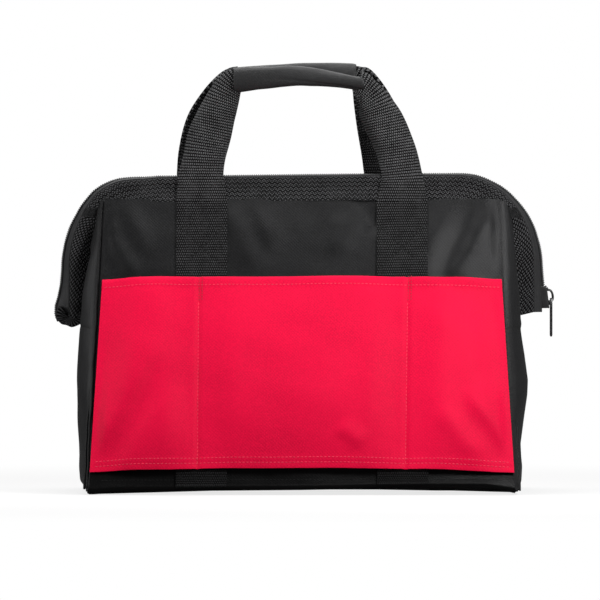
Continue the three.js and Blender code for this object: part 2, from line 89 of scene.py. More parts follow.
# Zip, slider and bail
ZIP_REACH = 181.0
ZIP_CORNER = 71.0
ZIP_TOP = 239.0
ZIP_END = 140.6
TAPE_FEET = (127.0, 129.8)
COIL_FEET = (127.5, ZIP_END)
COIL_PITCH = 1.6
SLIDER_LOW = 137.0
SLIDER_HIGH = 154.0
PLATE_OUT = 183.2
PLATE_THICKNESS = 1.5
BAIL_LOW = 141.3
BAIL_HIGH = 151.7
BAIL_OUT = 189.2

# End panels: how far their cloth starts beyond the wall's edge
END_SEAM = 2.2

# The photograph's scale, in metres
PIXEL = 0.747e-3
IMAGE_SIDE = 600


def smooth(t):
    """0 below 0, 1 above 1 and 3t^2 - 2t^3 between."""
    t = np.clip(t, 0, 1)
    return t * t * (3 - 2 * t)


def ripples(x, v, size, seed):
    """Slow unevenness of sewn cloth: eight sine waves of random direction, about size mm long."""
    rng = np.random.default_rng(seed)
    total = np.zeros(np.broadcast(x, v).shape)
    for _ in range(8):
        angle, phase = rng.uniform(0, 2 * math.pi, 2)
        wave = size * rng.uniform(0.6, 1.7)
        along = x * math.cos(angle) + v * math.sin(angle)
        total += np.sin(along * 2 * math.pi / wave + phase)
    return total / 5


def creases(x, v, lines):
    """Sum of soft ridges. Each line is (x0, v0, x1, v1, left, right, height): a Gaussian across the
    line, of a width of its own to the left and to the right as one looks from the first point to
    the second. It fades to nothing a quarter of its length beyond its ends."""
    total = np.zeros(np.broadcast(x, v).shape)
    for x0, v0, x1, v1, left, right, height in lines:
        dx, dv = x1 - x0, v1 - v0
        length = math.hypot(dx, dv)
        along = ((x - x0) * dx + (v - v0) * dv) / length**2
        across = ((x - x0) * dv - (v - v0) * dx) / length
        fade = smooth((along + 0.25) / 0.5) * smooth((1.25 - along) / 0.5)
        total += height * fade * np.exp(-((across / np.where(across > 0, right, left)) ** 2))
    return total


def curve(points, count):
    """count points along the Catmull-Rom curve through the given points, of any dimension."""
    p = np.asarray(points, float)
    p = np.vstack([2 * p[0] - p[1], p, 2 * p[-1] - p[-2]])
    t = np.linspace(0, len(p) - 3, count)
    i = np.minimum(t.astype(int), len(p) - 4)
    f = (t - i)[:, None]
    a, b, c, d = p[i], p[i + 1], p[i + 2], p[i + 3]
    cubic = -a + 3 * b - 3 * c + d
    square = 2 * a - 5 * b + 4 * c - d
    return 0.5 * (2 * b + (c - a) * f + square * f**2 + cubic * f**3)


def arc_length(points):
    """Distance along a row of points."""
    steps = np.linalg.norm(np.diff(points, axis=0), axis=1)
    return np.concatenate([[0], np.cumsum(steps)])


def looped(points):
    """The points of a ring, with the first one again at the end."""
    return np.vstack([points, points[:1]])


def circle(count):
    """Angles of count places round a ring."""
    return np.linspace(0, 2 * math.pi, count, endpoint=False)


def rounded(value, power):
    """Superellipse term: the value's size to that power, with the value's sign."""
    return np.sign(value) * np.abs(value) ** power


def stacked(x, y, z):
    """Points from three coordinates that are spread over one grid."""
    return np.stack(np.broadcast_arrays(np.asarray(x, float), y, z), axis=-1)


def cloth_uv(across, along):
    """Distances across and along the cloth, in mm, spread over one grid."""
    return stacked(across, along, 0)[..., :2]


def offset(grid, depth):
    """The grid moved by depth along its own normals."""
    normal = np.cross(np.gradient(grid, axis=1), np.gradient(grid, axis=0))
    normal /= np.linalg.norm(normal, axis=2, keepdims=True) + 1e-9
    return grid + normal * np.asarray(depth, float)[..., None]


def in_scene(name, data):
    """A new object of the scene with that mesh, lamp or camera."""
    thing = bpy.data.objects.new(name, data)
    bpy.context.scene.collection.objects.link(thing)
    return thing


class Build:
    """Collects closed bodies and makes one mesh of them. Each body's faces are turned outwards."""

    def __init__(self):
        self.points = []
        self.faces = []
        self.uvs = []
        self.count = 0

    def add(self, points, quads, corners, triangles=(), triangle_corners=()):
        """One closed body: points (n, 3), quads (m, 4), corners (m, 4, 2) in mm of cloth. It is
        turned inside out where its volume, a sum of a . (b x c) over its triangles, is negative."""
        quads = np.asarray(quads, int)
        triangles = np.asarray(triangles, int).reshape(-1, 3)
        corners = np.asarray(corners, float)
        triangle_corners = np.asarray(triangle_corners, float).reshape(-1, 3, 2)
        split = np.concatenate([quads[:, [0, 1, 2]], quads[:, [0, 2, 3]], triangles])
        a, b, c = (points[split[:, i]] for i in range(3))
        if np.einsum("ij,ij->i", a, np.cross(b, c)).sum() < 0:
            quads, corners = quads[:, ::-1], corners[:, ::-1]
            triangles, triangle_corners = triangles[:, ::-1], triangle_corners[:, ::-1]
        self.points.append(points)
        self.faces += (quads + self.count).tolist() + (triangles + self.count).tolist()
        self.uvs += [corners.reshape(-1, 2), triangle_corners.reshape(-1, 2)]
        self.count += len(points)

    def shell(self, outer, inner, uv):
        """A sheet with both faces and its rim. outer and inner are (rows, columns, 3) grids."""
        rows, columns = outer.shape[:2]
        front = np.arange(rows * columns).reshape(rows, columns)
        back = front + rows * columns

        def patch(*corners):
            return np.stack(corners, axis=-1).reshape(-1, 4)

        quads = np.concatenate([
            patch(front[:-1, :-1], front[:-1, 1:], front[1:, 1:], front[1:, :-1]),
            patch(back[:-1, :-1], back[1:, :-1], back[1:, 1:], back[:-1, 1:]),
            patch(front[0, 1:], front[0, :-1], back[0, :-1], back[0, 1:]),
            patch(front[-1, :-1], front[-1, 1:], back[-1, 1:], back[-1, :-1]),
            patch(front[:-1, 0], front[1:, 0], back[1:, 0], back[:-1, 0]),
            patch(front[1:, -1], front[:-1, -1], back[:-1, -1], back[1:, -1]),
        ])
        points = np.concatenate([outer.reshape(-1, 3), inner.reshape(-1, 3)])
        self.add(points, quads, uv.reshape(-1, 2)[quads % (rows * columns)])

    def tube(self, rings, uv=None, closed=False):
        """A body swept through rings (n, m, 3), capped at both ends with a fan of triangles.
        closed joins the last ring to the first instead."""
        count, sides = rings.shape[:2]
        if uv is None:
            around = arc_length(looped(rings[count // 2]))
            along = arc_length(looped(rings.mean(axis=1)))
            uv = cloth_uv(around[None, :], along[:, None])
        number = np.arange(count * sides).reshape(count, sides)
        i = np.arange(count if closed else count - 1)[:, None]
        j = np.arange(sides)[None, :]
        ahead, beside = (i + 1) % count, (j + 1) % sides
        quads = [number[i, j], number[i, beside], number[ahead, beside], number[ahead, j]]
        corners = [uv[i, j], uv[i, j + 1], uv[i + 1, j + 1], uv[i + 1, j]]
        quads = np.stack(quads, axis=-1).reshape(-1, 4)
        corners = np.stack(corners, axis=-2).reshape(-1, 4, 2)
        points = rings.reshape(-1, 3)
        if closed:
            return self.add(points, quads, corners)
        points = np.vstack([points, rings[0].mean(axis=0), rings[-1].mean(axis=0)])
        first, last = number[0], number[-1]
        centre = np.full(sides, count * sides)
        caps = [[centre, np.roll(first, -1), first], [centre + 1, last, np.roll(last, -1)]]
        triangles = np.concatenate([np.stack(cap, axis=1) for cap in caps])
        ends = np.concatenate([uv[0, :sides], uv[count - 1, :sides]])
        return self.add(points, quads, corners, triangles, np.repeat(ends[:, None], 3, axis=1))

    def rod(self, path, radius, sides=10):
        """A round rod along a path; each end tapers over 0.4 of its radius."""
        path = np.asarray(path, float)
        radii = np.broadcast_to(np.asarray(radius, float), len(path))
        first, last = path[0], path[-1]
        a = (path[1] - first) / np.linalg.norm(path[1] - first)
        b = (last - path[-2]) / np.linalg.norm(last - path[-2])
        path = np.vstack([first - a * radii[0] * 0.4, path, last + b * radii[-1] * 0.4])
        radii = np.concatenate([[radii[0] * 0.55], radii, [radii[-1] * 0.55]])
        tangent = np.gradient(path, axis=0)
        tangent /= np.linalg.norm(tangent, axis=1, keepdims=True)
        side = np.cross(tangent, [0.13, 0.29, 0.95])
        side /= np.linalg.norm(side, axis=1, keepdims=True)
        other = np.cross(tangent, side)
        angle = circle(sides)[:, None]
        ring = side[:, None] * np.cos(angle) + other[:, None] * np.sin(angle)
        self.tube(path[:, None] + ring * radii[:, None, None])

    def soft_box(self, low, high, power):
        """A box with rounded edges: a superellipsoid of that power between two corners."""
        low, high = np.asarray(low, float), np.asarray(high, float)
        turn = circle(28)
        tilt = np.linspace(-math.pi / 2 + 0.02, math.pi / 2 - 0.02, 14)[:, None]
        flat = rounded(np.cos(tilt), power)
        x = flat * rounded(np.cos(turn), power)
        y = flat * rounded(np.sin(turn), power)
        z = rounded(np.sin(tilt), power) * np.ones_like(turn)
        self.tube(stacked(x, y, z) * (high - low) / 2 + (high + low) / 2)

    def make(self, name, material, turn=1, sharp=35):
        """The mesh object, in metres; turn is -1 for a piece of the rear half."""
        points = np.concatenate(self.points) * [turn * 0.001, turn * 0.001, 0.001]
        mesh = bpy.data.meshes.new(name)
        mesh.from_pydata(points.tolist(), [], self.faces)
        corners = np.concatenate(self.uvs).astype(np.float32)
        mesh.uv_layers.new(name="cloth").data.foreach_set("uv", corners.ravel())
        mesh.shade_smooth()
        mesh.set_sharp_from_angle(angle=math.radians(sharp))
        mesh.materials.append(material)
        return in_scene(name, mesh)


# Materials


class Value:
    """A socket's value, which varies over a surface. Arithmetic on it adds Math nodes."""

    def __init__(self, nodes, socket):
        self.nodes = nodes
        self.socket = socket

    def maths(self, operation, *others):
        return self.nodes.maths(operation, self, *others)

    def __add__(self, other):
        return self.maths("ADD", other)

    def __sub__(self, other):
        return self.maths("SUBTRACT", other)

    def __rsub__(self, other):
        return self.nodes.maths("SUBTRACT", other, self)

    def __mul__(self, other):
        return self.maths("MULTIPLY", other)

    def __truediv__(self, other):
        return self.maths("DIVIDE", other)

    __radd__ = __add__
    __rmul__ = __mul__

    def above(self, edge, width):
        """0 below edge, 1 above edge + width, smooth between."""
        inputs = {"Value": self, "From Min": edge, "From Max": edge + width}
        return self.nodes.add("MapRange", {"interpolation_type": "SMOOTHSTEP"}, inputs)


class Nodes:
    """A tree of nodes. Every node comes from add: settings first, then its sockets."""

    def __init__(self, owner):
        owner.use_nodes = True
        self.tree = owner.node_tree

    def add(self, kind, settings, inputs, output=0):
        node = self.tree.nodes.new("ShaderNode" + kind)
        for name, setting in settings.items():
            setattr(node, name, setting)
        for name, value in inputs.items():
            self.put(node.inputs[name], value)
        return Value(self, node.outputs[output])

    def put(self, socket, value):
        """Links a value to a socket, or sets a plain number or colour on it."""
        if isinstance(value, Value):
            self.tree.links.new(value.socket, socket)
        else:
            socket.default_value = value

    def maths(self, operation, *values):
        return self.add("Math", {"operation": operation}, dict(enumerate(values)))

    def parts(self, vector):
        """The x, y and z of a vector."""
        split = self.add("SeparateXYZ", {}, {0: vector}).socket.node
        return [Value(self, socket) for socket in split.outputs]


class Finish(Nodes):
    """A principled material. constants holds what is the same all over the surface."""

    def __init__(self, name, constants):
        self.material = bpy.data.materials.new(name)
        super().__init__(self.material)
        self.shader = self.tree.nodes["Principled BSDF"]
        self.place = self.add("TexCoord", {}, {}, "Object")
        self.normal = None
        for socket, value in constants.items():
            self.put(self.shader.inputs[socket], value)

    def cloth(self):
        """Distances across and along the cloth, in mm."""
        return self.parts(self.add("UVMap", {"uv_map": "cloth"}, {}))[:2]

    def scaled(self, size, stretch=(1, 1, 1)):
        """The place on the object, counted in steps of size mm."""
        steps = [1000 / size * s for s in stretch]
        return self.add("VectorMath", {"operation": "MULTIPLY"}, {0: self.place, 1: steps})

    def noise(self, size, detail=3.0, roughness=0.5, stretch=(1, 1, 1)):
        """Noise between 0 and 1 whose blotches are about size mm across."""
        place = self.scaled(size, stretch)
        inputs = {"Vector": place, "Scale": 1.0, "Detail": detail, "Roughness": roughness}
        return self.add("TexNoise", {}, inputs, "Fac")

    def specks(self, spacing, radius):
        """1 at scattered dots of lint about spacing mm apart, 0 elsewhere."""
        inputs = {"Vector": self.scaled(spacing), "Scale": 1.0}
        distance = self.add("TexVoronoi", {}, inputs, "Distance")
        return 1 - distance.above(radius / spacing, radius / spacing)

    def colour(self, ground, *layers):
        """Lays each (amount, colour) over the ground colour in turn."""
        mixed = (*ground, 1)
        for amount, colour in layers:
            inputs = {"Factor": amount, "A": mixed, "B": (*colour, 1)}
            mixed = self.add("Mix", {"data_type": "RGBA"}, inputs, "Result")
        self.put(self.shader.inputs["Base Color"], mixed)

    def rough(self, value):
        self.put(self.shader.inputs["Roughness"], value)

    def bump(self, height, depth):
        """Raises the surface by depth mm where height is 1, on top of the bumps before."""
        inputs = {"Height": height, "Distance": depth / 1000, "Strength": 1.0}
        if self.normal:
            inputs["Normal"] = self.normal
        self.normal = self.add("Bump", {}, inputs, "Normal")
        self.put(self.shader.inputs["Normal"], self.normal)


LINT = (0.5, 0.5, 0.5)


def shade(colour, factor):
    return tuple(min(1.0, c * factor) for c in colour)


def woven(name, colour, pitch, sheen, lift=1.5, foot=None, gloss=0.14, rough=0.37):
    """Coated polyester: a plain weave of that pitch in mm, cloudy colour, fine grain and lint.
    lift is how much paler the raised threads are. Below foot mm up the cloth the colour is
    painted darker, as painted shade on the low band by the floor."""
    f = Finish(name, {"Sheen Weight": sheen, "Sheen Roughness": 0.5, "Specular IOR Level": gloss})
    u, v = f.cloth()
    weave = (u * (math.pi / pitch)).maths("SINE") * (v * (math.pi / pitch)).maths("SINE")
    cloud = f.noise(70)
    grain = f.noise(1.1, 4, 0.7)
    slub = f.noise(5, 2, 0.5, (0.25, 1, 1))
    threads = weave * 0.5 + 0.5
    # painted shade: below foot mm up the cloth the colour darkens towards the floor
    painted_foot_shade = 1 - v.above(foot - 3, 3) if foot else 0.0
    f.colour(
        shade(colour, 0.92),
        (cloud.above(0.32, 0.36), shade(colour, 1.06)),
        (grain.above(0.42, 0.2) * 0.5, shade(colour, lift)),
        (threads * 0.3, shade(colour, lift)),
        (slub.above(0.58, 0.15) * 0.14, shade(colour, lift)),
        (painted_foot_shade, shade(colour, 0.15)),
        (f.specks(34, 0.3) * 0.4, LINT),
    )
    f.rough(rough + grain * 0.12 - threads * 0.05)
    f.bump(f.noise(24, 3, 0.4), 0.6)
    f.bump(threads * 0.6 + grain * 1.5, 0.11)
    return f.material


def webbing(name, colour, row, dot, chevron=None, foot=None, dim=0.0):
    """Heavy webbing: rows of short floats across the tape, row mm tall and dot mm long, each row
    half a float out of step. chevron is (slope, middle of the face): there the rows run slanting
    on the legs of the mouth and zigzag along its top. dim is how much painted shade darkens the
    webbing below the mouth, foot how far up its end has more painted shade still. The colour
    follows the floats' height: painted shade between them, a painted highlight on their tops."""
    constants = {"Sheen Weight": 0.02, "Sheen Roughness": 0.4, "Specular IOR Level": 0.07}
    f = Finish(name, constants)
    u, v = f.cloth()
    z = f.parts(f.place)[2]
    # painted shade: below the mouth the webbing's colour is darker by dim
    painted_shade_below_mouth = (1 - z.above(0.205, 0.045)) * dim
    # painted shade: the lowest foot mm of the webbing are darker still
    low = 1 - v.above(foot - 3, 3) if foot else 0.0
    if chevron:
        slope, middle = chevron
        top = z.above(0.205, 0.008)
        leg = 1 - top
        slanted_rows = v + (u - middle).maths("ABSOLUTE") * slope
        zigzag_rows = (u + (v / 4.0).maths("PINGPONG", 0.5) * 3.0) * 1.6
        u, v = u * leg + v * top, slanted_rows * leg + zigzag_rows * top
    line = v / row
    shift = line.maths("FLOOR") * 0.5
    rib = (line * math.pi).maths("SINE").maths("ABSOLUTE")
    floats = ((u / dot + shift) * math.pi).maths("SINE").maths("ABSOLUTE")
    height = rib.maths("POWER", 0.7) * (floats * 0.8 + 0.2)
    # noise that spreads the painted highlight on the floats in patches
    highlight_patches = f.noise(9, 4, 0.6)
    grain = f.noise(0.9, 3, 0.7)
    # The colour follows the floats' height: the dark ground between them is painted shade, the 5.2
    # times paler layer on their tops a painted highlight.
    f.colour(
        shade(colour, 0.05),
        (height.above(0.3, 0.36), shade(colour, 1.2)),
        ((height * (highlight_patches + 0.5)).above(0.5, 0.3) * 0.9, shade(colour, 5.2)),
        (low * 0.75, shade(colour, 0.35)),
        (painted_shade_below_mouth, shade(colour, 0.1)),
        (f.specks(28, 0.25) * 0.4, LINT),
    )
    f.rough(0.5 + grain * 0.25)
    f.bump(height + grain * 0.2, 0.5)
    return f.material


def plain(name, colour, roughness, metallic=0.0, grain_size=0.6, grain_depth=0.03, coat=0.0):
    """Moulded, coated or metal finish: fine grain, handling marks and a little unevenness."""
    f = Finish(name, {"Metallic": metallic, "Coat Weight": coat})
    grain = f.noise(grain_size, 3, 0.6)
    marks = f.noise(6, 5, 0.65)
    f.colour(
        shade(colour, 0.85),
        (marks.above(0.35, 0.4), shade(colour, 1.15)),
        (marks.above(0.62, 0.1) * 0.3, shade(colour, 1.9)),
    )
    f.rough(roughness + (marks - 0.5) * 0.25 + (grain - 0.5) * 0.1)
    f.bump(grain, grain_depth)
    return f.material


BLACK = (0.005, 0.005, 0.0053)
END_BLACK = (0.0115, 0.0115, 0.012)
black_cloth = woven("black_cloth", BLACK, 1.25, 0.02, lift=3.4)
end_cloth = woven("end_cloth", END_BLACK, 1.25, 0.02, lift=2.0)
# wall_cloth: its lowest 14 mm carry painted shade
wall_cloth = woven("wall_cloth", BLACK, 1.25, 0.02, lift=3.4, foot=14.0)
red_cloth = woven("red_cloth", (0.75, 0.003, 0.045), 1.3, 0.015, lift=1.3, gloss=0.06, rough=0.5)
grip_cloth = woven("grip_cloth", (0.023, 0.023, 0.0235), 1.0, 0.03, lift=1.6)
tape_cloth = woven("zip_tape_cloth", (0.025, 0.025, 0.026), 0.7, 0.03)
# painted shade: dim darkens both webbings below the mouth, foot the sewn one's lowest 14 mm
strap_webbing = webbing("handle_webbing", (0.025, 0.025, 0.0255), 2.1, 1.6, dim=0.6)
sewn_webbing = webbing("sewn_webbing", (0.022, 0.022, 0.0225), 2.1, 1.6, foot=14.0, dim=0.6)
binding_webbing = webbing("binding_webbing", (0.0145, 0.0145, 0.015), 2.5, 2.0, (0.9, 9.5))
black_thread = plain("black_thread", (0.003, 0.003, 0.0033), 0.9, grain_size=0.3)
dark_thread = plain("dark_thread", (0.011, 0.011, 0.0115), 0.8, grain_size=0.3)
red_thread = plain("red_thread", (0.95, 0.035, 0.1), 0.7, grain_size=0.3)
tack_thread = plain("tack_thread", (0.5, 0.006, 0.03), 0.7, grain_size=0.3)
coil_plastic = plain("zip_coil_plastic", (0.02, 0.02, 0.021), 0.38, grain_size=1.0)
black_metal = plain("black_painted_metal", (0.018, 0.018, 0.019), 0.36, 0.0, 0.8, 0.02, 0.25)
wire_steel = plain("drawn_wire", (0.45, 0.46, 0.47), 0.32, 1.0, 0.5, 0.01)
cap_plastic = plain("wire_cap_plastic", (0.012, 0.012, 0.013), 0.5)
board_plastic = plain("base_board_sheet", (0.014, 0.014, 0.014), 0.6, 0.0, 1.5, 0.12)


# Shared shapes


def wall_edge(v):
    """Half the wall's length at a distance v up the wall."""
    return BASE_HALF + (MOUTH_HALF - BASE_HALF) * v / WALL_HEIGHT


def wall_plane(z):
    """Distance of a wall's middle plane from the bag's middle at height z."""
    return BASE_DEPTH / 2 - (z - HINGE_Z) * math.tan(LEAN)


def belly(x, v):
    """How far a filled bag's wall swells: a half sine up the wall, fading towards its sides."""
    share = np.clip(v / WALL_HEIGHT, 0, 1) ** 0.8
    return 5.5 * np.sin(math.pi * share) * smooth((1 - np.abs(x) / wall_edge(v)) / 0.5)


def on_wall(x, v, out):
    """Point at x along the front wall, v up it and out from its middle plane."""
    sin, cos = math.sin(LEAN), math.cos(LEAN)
    out = out + belly(x, v)
    return stacked(x, -BASE_DEPTH / 2 + v * sin - out * cos, HINGE_Z + v * cos + out * sin)


def hem_profile():
    """The wall's middle line below its hinge: goes on for a little, then turns under the base on
    an arc. Rows are (distance, y, z, outward y, outward z)."""
    straight, radius, step = 1.3, 2.2, 0.1
    distance = np.arange(70) * step
    angle = np.minimum(np.maximum(distance - straight, 0) / radius - LEAN, math.pi / 2)
    sin, cos = np.sin(angle), np.cos(angle)
    y = -BASE_DEPTH / 2 + (np.cumsum(sin) - sin) * step
    z = HINGE_Z - (np.cumsum(cos) - cos) * step
    return np.stack([distance, y, z, -cos, -sin], axis=1)


HEM = hem_profile()

# How far the bottom is lifted over the floor, for the bag stands on its corners: place along the
# front, lift of the wall's hem, lift of the base behind it
UNDER = np.array([
    (-160, 0.0, 0.0), (-154, 0.1, 0.4), (-145, 1.1, 1.4), (-134, 2.0, 2.3), (-55, 2.9, 3.0),
    (0, 3.3, 3.5), (25, 3.7, 4.0), (47, 4.5, 4.4), (70, 5.1, 4.8), (91, 5.3, 5.2), (136, 5.3, 5.2),
    (145, 4.0, 4.2), (152, 2.3, 2.6), (160, 0.6, 1.4),
])
HEM_LIFT, BASE_LIFT = 1, 2


def under_edge(x, column):
    """Lift of the hem or the base at x, read between the rows of UNDER."""
    return np.interp(x, UNDER[:, 0], UNDER[:, column])


def on_hem(x, v, out):
    """Like on_wall, and below the hinge it turns under the base. The lowest 14 mm are lifted."""
    x, v, out = np.broadcast_arrays(np.asarray(x, float), v, out)
    y, z, ny, nz = (np.interp(-v, HEM[:, 0], HEM[:, i]) for i in range(1, 5))
    turned_under = stacked(x, y + ny * out, z + nz * out)
    place = np.where((v > 0)[..., None], on_wall(x, v, out), turned_under)
    place[..., 2] += under_edge(x, HEM_LIFT) * smooth((14 - place[..., 2]) / 14)
    return place


def hoop(reach, corner, top, feet, step):
    """Stops along a hoop from its left foot up a leg, round a corner and over the top to its right
    foot, about step mm apart. Rows are x, z and the direction that points out of the hoop."""
    cx, cz = reach - corner, top - corner

    def leg(foot):
        count = max(int((cz - foot) / step), 2)
        z = np.linspace(foot, cz, count, endpoint=False)
        return np.stack(np.broadcast_arrays(-reach, z, -1.0, 0.0), axis=1)

    arc = np.linspace(0, math.pi / 2, int(corner * math.pi / 2 / step))
    cos, sin = np.cos(arc), np.sin(arc)
    bend = np.stack([-cx - corner * cos, cz + corner * sin, -cos, sin], axis=1)
    flat = np.stack(np.broadcast_arrays(np.linspace(-cx, 0, int(cx / step)), top, 0.0, 1.0), axis=1)
    right = np.vstack([leg(feet[1]), bend, flat[1:]]) * [-1, 1, -1, 1]
    return np.vstack([leg(feet[0]), bend, flat[1:], right[::-1][1:]])


def swept(stops, out, y):
    """Points at distance out from the hoop line and at depth y, for every stop."""
    x = stops[:, 0:1] + stops[:, 2:3] * out
    z = stops[:, 1:2] + stops[:, 3:4] * out
    return stacked(x, y, z)


# How far the corners of the mouth stand out of their even arc, by the angle of the hoop there:
# (degrees above level, at the bag's left end, at its right end)
CORNER = np.array([
    (0, 0.9, 0.0), (8, 0.8, 0.0), (16, 0.6, 0.1), (21, 0.7, 0.6), (26, 0.9, 0.9), (31, 1.3, 1.2),
    (37, 2.4, 1.4), (43, 3.2, 1.6), (49, 4.3, 2.1), (55, 4.3, 2.2), (61, 3.8, 2.0), (66, 3.0, 2.0),
    (71, 1.7, 1.9), (76, 0.6, 1.3), (81, -0.3, 0.6), (86, -0.4, 0.1), (90, 0.0, 0.0),
])

# Reach of the coil beyond its even path at the bag's left end: (height, reach)
LEFT_FLARE = np.array([
    (124, 0.2), (128, 3.0), (133, 4.2), (139, 4.0), (146, 1.9), (155, 0.1), (167, -0.9),
    (181, -1.0), (198, 0),
])


def sag(points, turn, out=0.0):
    """The mouth's top edge falls a little towards the bag's left end, and its corners stand out
    of their even arc. The hem of the webbing, 20 mm inside the fold, stays where it is."""
    world = points[..., 0] * turn
    rise = points[..., 2] - (BINDING_TOP - BINDING_CORNER)
    past = np.abs(points[..., 0]) - (BINDING_REACH - BINDING_CORNER)
    angle = np.degrees(np.arctan2(np.maximum(rise, 0), np.maximum(past, 0.01)))
    left, right = (np.interp(angle, CORNER[:, 0], CORNER[:, i]) for i in (1, 2))
    far = np.where(world < 0, left, right) * smooth((out + 21) / 16)
    points[..., 0] += np.sign(points[..., 0]) * far * np.cos(np.radians(angle))
    points[..., 2] += far * np.sin(np.radians(angle))
    fall = 0.4 + 1.9 * smooth((100 - world) / 230) * smooth((200 + world) / 90)
    points[..., 2] -= smooth(rise / 50) * fall
    return points


def slanted(points, turn, share=1.0):
    """The foot of the webbing at the bag's right end is cut on a slant, higher at the fold."""
    slant = smooth((152 - points[..., 2]) / 16) * (points[..., 0] * turn > 0)
    points[..., 2] += slant * 4.4 * share
    return points


def settle_leg(points, turn, out):
    """How the legs of the mouth lie: at the bag's left end the skirts turn in behind the tape,
    at its right end the webbing is cut on a slant. out is the distance from the fold."""
    low = smooth((212 - points[..., 2]) / 40) * (points[..., 0] * turn < 0)
    depth = -out / BINDING_SKIRT
    points[..., 0] -= np.sign(points[..., 0]) * low * 0.6
    front_skirt = np.where(points[..., 1] < -BINDING_IN - 3, 6.5, 0)
    points[..., 1] += front_skirt * low * smooth(depth * 1.1 - 0.2)
    return sag(slanted(points, turn, 1 - depth), turn, out)


def flare_coil(points, turn):
    """The coil's legs spread: by LEFT_FLARE at the bag's left end, below 172 mm at its right."""
    left = np.interp(points[..., 2], LEFT_FLARE[:, 0], LEFT_FLARE[:, 1])
    right = 1.5 * smooth((172 - points[..., 2]) / 24)
    points[..., 0] += np.sign(points[..., 0]) * np.where(points[..., 0] * turn < 0, left, right)
    return sag(points, turn)


# One thread loop, as rings: (place along it, thickness)
STITCH = np.array([(-0.5, 0.35), (-0.3, 0.9), (0.0, 1.0), (0.3, 0.9), (0.5, 0.35)])


def stitches(build, path, normal, pitch=2.9, length=1.9, radius=0.32):
    """A row of thread loops along a path of points, each half sunk in the cloth."""
    distance = arc_length(path)
    count = max(int(distance[-1] / pitch), 1)
    middles = (np.arange(count) + 0.5) * distance[-1] / count
    starts, ends = (
        np.stack([np.interp(middles + half, distance, path[:, i]) for i in range(3)], axis=1)
        for half in (-length / 2, length / 2)
    )
    angle = circle(6)[:, None]
    share, width = STITCH.T[:, :, None, None]
    for start, end in zip(starts, ends):
        along = end - start
        side = np.cross(along / (np.linalg.norm(along) + 1e-9), normal)
        ring = side * np.cos(angle) + normal * np.sin(angle) * 0.8
        build.tube((start + end) / 2 + along * share + radius * width * ring)


def both_ends(side):
    """Both ends of a side: the sign of x there as the side is written, and the bag's own hand."""
    return zip((-1, 1), ("left", "right")[:: side["turn"]])


def finish_off(nodes):
    """Hides the imported solids that a piece stands for."""
    if nodes:
        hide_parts(*nodes)


def dress(piece, body, slot, *nodes):
    """A piece that rides on one body."""
    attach(piece, body)
    finish_off(nodes)


def dress_between(piece, side, bodies, start, end, slot, *nodes):
    """A piece left where it was made: its transform is baked in and the solids it stands for are
    hidden. The bodies and the two points, in mm and facing -Y, are not used.
    """
    turned = np.array([side["turn"], side["turn"], 1]) / 1000
    start, end = ((np.array(point) * turned + 0.0).tolist() for point in (start, end))
    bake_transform(piece)
    finish_off(nodes)


